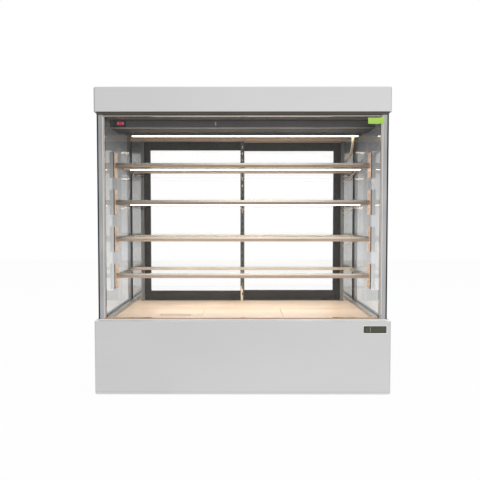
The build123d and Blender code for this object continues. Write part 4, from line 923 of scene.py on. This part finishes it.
# channel above the top light: a rolled hem along its lower edge, a seal, a latch and grommets
channelSizes = {"hem": (2.4, 1.4), "hemProud": 0.8, "sealLow": 5, "sealProud": 1.2, "latchHalf": (2.5, 7.5),
                "latchX": -114.0, "latchProud": 2.4, "grommetRadius": 6.8}
channelLow, channelHigh = boxOf("light_channel")
addTrim("channelHem", "light_channel",
        (channelLow.x, channelLow.y - channelSizes["hemProud"], channelLow.z - channelSizes["hem"][0]),
        (channelHigh.x, channelLow.y + 1.4, channelLow.z + channelSizes["hem"][1]), 0.8, hemSteel)
addTrim("channelSeal", "light_channel",
        (channelLow.x, channelLow.y - channelSizes["sealProud"], channelHigh.z - channelSizes["sealLow"]),
        (channelHigh.x, channelLow.y + 0.2, channelHigh.z - 0.3), 0.5, sealRubber)
latchMiddle = (channelLow.z + channelHigh.z) / 2
wide, tall = channelSizes["latchHalf"]
addTrim("channelLatch", "light_channel",
        (channelSizes["latchX"] - wide, channelLow.y - channelSizes["latchProud"], latchMiddle - tall),
        (channelSizes["latchX"] + wide, channelLow.y + 0.2, latchMiddle + tall), 1.0, postSteel)


def addGrommet(name, node, spot, turn):
    # a soft ring where a lead goes through sheet steel
    radius = channelSizes["grommetRadius"] / 1000
    bpy.ops.mesh.primitive_torus_add(major_segments=24, minor_segments=8, major_radius=radius,
                                     minor_radius=radius * 0.3, location=spot, rotation=turn)
    ring = takeNew(name)
    bpy.ops.object.shade_smooth()
    paint(ring, sealRubber)
    place(ring, node)


addGrommet("topLeadGrommet", "light_channel", (topRoute[0][0], topRoute[0][1], channelLow.z / 1000),
           (0, 0, 0))
addGrommet("jambGrommet", "corner_posts", (topRoute[-1][0], (jambRear - 2.2) / 1000, topRoute[-1][2]),
           (pi / 2, 0, 0))
print("channel fitted")


# doors: a glazing gasket round each pane on both faces and a lined finger pull, by width and depth
doorSizes = {"gasket": (3.0, 1.2), "paneLap": 5.5, "pullMiddle": (491, 717.5),
             "pullHalf": (12, 45), "pull": (2.5, 1.0)}


def addFrameRing(name, low, high, y, width, depth, material, node):
    # a flat ring in the plane of the door, from a rectangle with its middle taken out
    ring = addSheet(name, low, high, y)
    editFaces(ring, lambda normal, spot: True)
    bpy.ops.mesh.inset(thickness=width / 1000)
    bpy.ops.mesh.delete(type="FACE")
    endEdit()
    applyModifier(ring, "SOLIDIFY", thickness=depth / 1000, offset=0)
    finish(ring, node, min(width, depth) * 0.3, material)


for name, side in sides:
    node = "door_" + name.lower()
    low, high = boxOf(node + "_frame")
    # the pane stands 8 mm deep in the frame, and the gasket covers the edge between them
    lap = Vector((doorSizes["paneLap"], 0, doorSizes["paneLap"]))
    openLow, openHigh = boxOf(node + "_glass")[0] + lap, boxOf(node + "_glass")[1] - lap
    for face, y in (("Front", low.y), ("Rear", high.y)):
        addFrameRing("doorGasket" + face + name, openLow.xz, openHigh.xz, y, *doorSizes["gasket"],
                     sealRubber, node + "_frame")
    pullX, pullZ = side * doorSizes["pullMiddle"][0], doorSizes["pullMiddle"][1]
    reachX, reachZ = [reach + doorSizes["pull"][0] for reach in doorSizes["pullHalf"]]
    addFrameRing("pullLiner" + name, (pullX - reachX, pullZ - reachZ), (pullX + reachX, pullZ + reachZ),
                 high.y, *doorSizes["pull"], fanPlastic, node + "_frame")
print("doors fitted")

# front: a plain green film that runs from the pane over the silicone to the post
filmSizes = {"across": (504, 543.0, 556.0, 567.5), "low": 1103, "high": 1128, "thick": 0.25, "edge": 0.08}
left, beadFoot, beadTop, right = filmSizes["across"]
film = addSheet("blankLabel", (left, filmSizes["low"]), (beadFoot, filmSizes["high"]), frontLow.y - 0.3)
editEdges(film, lambda one, two: min(one.x, two.x) > beadFoot - 1)
for step in ((beadTop - beadFoot, -sealSizes["siliconeProud"], 0), (right - beadTop, 0, 0)):
    bpy.ops.mesh.extrude_region_move(TRANSFORM_OT_translate={"value": inMetres(step)})
endEdit()
applyModifier(film, "SOLIDIFY", thickness=filmSizes["thick"] / 1000, offset=0)
finish(film, "front_glass", filmSizes["edge"], stickerFilm)

# controller: a pale strip beside its window, and a bright collar round its bezel in painted highlight
controllerSizes = {"dividerWidth": 3.4, "dividerGap": 2.2, "collar": (2.4, 1.0)}
windowLow, windowHigh = boxOf("controller_window")
dividerRight = windowLow.x - controllerSizes["dividerGap"]
addTrim("controllerDivider", "controller_housing",
        (dividerRight - controllerSizes["dividerWidth"], windowLow.y - 0.3, windowLow.z),
        (dividerRight, windowLow.y + 1, windowHigh.z), 0.3, dividerAbs)
collar, collarDepth = controllerSizes["collar"]
bezelLow, bezelHigh = boxOf("controller_housing")
addFrameRing("controllerCollar", (bezelLow.x - collar, bezelLow.z - collar),
             (bezelHigh.x + collar, bezelHigh.z + collar), boxOf("base_front_panel")[0].y, collar,
             collarDepth, foldHighlight, "controller_housing")

# the shoe that holds the pane's foot in the right post
shoeSizes = {"left": 560.6, "size": 14.0, "depth": (1.5, 0.1)}
left, size, (near, far) = shoeSizes.values()
addTrim("paneShoe", "corner_posts", (left, railFront - near, frontLow.z),
        (left + size, railFront - far, frontLow.z + size), 0.7, postSteel)
print("front fitted")

# floor, world and studio lamps
studio = {"ambient": 0.55, "leftDim": 0.7, "floorSize": 14.0, "floorWhite": 0.96}
bpy.ops.mesh.primitive_plane_add(size=studio["floorSize"], location=(0, 0, 0))
floor = bpy.context.object
floor.name = "studioFloor"


def whiteForSight(tree):
    # 1 for rays that show the background, 0 for rays that only carry light
    ray = addNode(tree, "LightPath")
    first = combine(tree, "MAXIMUM", ray.outputs["Is Camera Ray"], ray.outputs["Is Glossy Ray"])
    return combine(tree, "MAXIMUM", first, ray.outputs["Is Transmission Ray"])


# matt pale floor: white to the eye, with the case's shadow
floorMaterial, tree, output = startMaterial("paleStudioFloor")
matt = addNode(tree, "BsdfDiffuse", {"Color": toLinear("#F2F2F2")})
white = addNode(tree, "Emission", {"Color": toLinear("#FFFFFF")})
share = addNode(tree, "Math", {"operation": "MULTIPLY", 1: studio["floorWhite"]}, {0: whiteForSight(tree)})
mixed = addNode(tree, "MixShader", None, {0: share, 1: matt, 2: white})
tree.links.new(mixed.outputs[0], output.inputs[0])
floor.data.materials.append(floorMaterial)

# world: white to the eye and dimmer as light, and a little darker on the left in metal
world = bpy.data.worlds.new("studioWorld")
world.use_nodes = True
bpy.context.scene.world = world
tree = world.node_tree
tree.nodes.clear()
level = addNode(tree, "MapRange", {"To Min": studio["ambient"], "To Max": 1.0}, {"Value": whiteForSight(tree)})
aim = addNode(tree, "SeparateXYZ", None, {0: addNode(tree, "TexCoord").outputs["Generated"]})
leftDim = addNode(tree, "MapRange", {"From Min": -0.45, "From Max": 0.0, "To Min": studio["leftDim"]},
                  {"Value": aim})
ray = addNode(tree, "LightPath")
mirrored = addNode(tree, "Math", {"operation": "SUBTRACT", "use_clamp": True},
                   {0: ray.outputs["Is Glossy Ray"], 1: ray.outputs["Is Transmission Ray"]})
dimmed = addNode(tree, "Mix", {"A": 1.0}, {"Factor": mirrored, "B": leftDim})
strength = combine(tree, "MULTIPLY", level, dimmed)
sky = addNode(tree, "Background", {"Color": (1, 1, 1, 1)}, {"Strength": strength})
tree.links.new(sky.outputs[0], addNode(tree, "OutputWorld").inputs[0])

lamps = {
    "keyLamp": {"place": (-2.2, -2.6, 3.0), "aim": (0, 0, 0.7), "size": 2.4, "power": 50},
    "fillLamp": {"place": (2.6, -2.2, 2.2), "aim": (0, 0, 0.6), "size": 2.4, "power": 35},
    "backLamp": {"place": (0.4, 2.8, 3.0), "aim": (0, 0, 0.7), "size": 2.4, "power": 35},
}
for name, lamp in lamps.items():
    data = bpy.data.lights.new(name, "AREA")
    data.size = lamp["size"]
    data.energy = lamp["power"]
    light = addObject(name, data)
    light.location = lamp["place"]
    light.rotation_euler = (Vector(lamp["aim"]) - Vector(lamp["place"])).to_track_quat("-Z", "Y").to_euler()
    light.visible_glossy = False  # brushed metal shows the studio's white, not the lamps
print("studio lit")
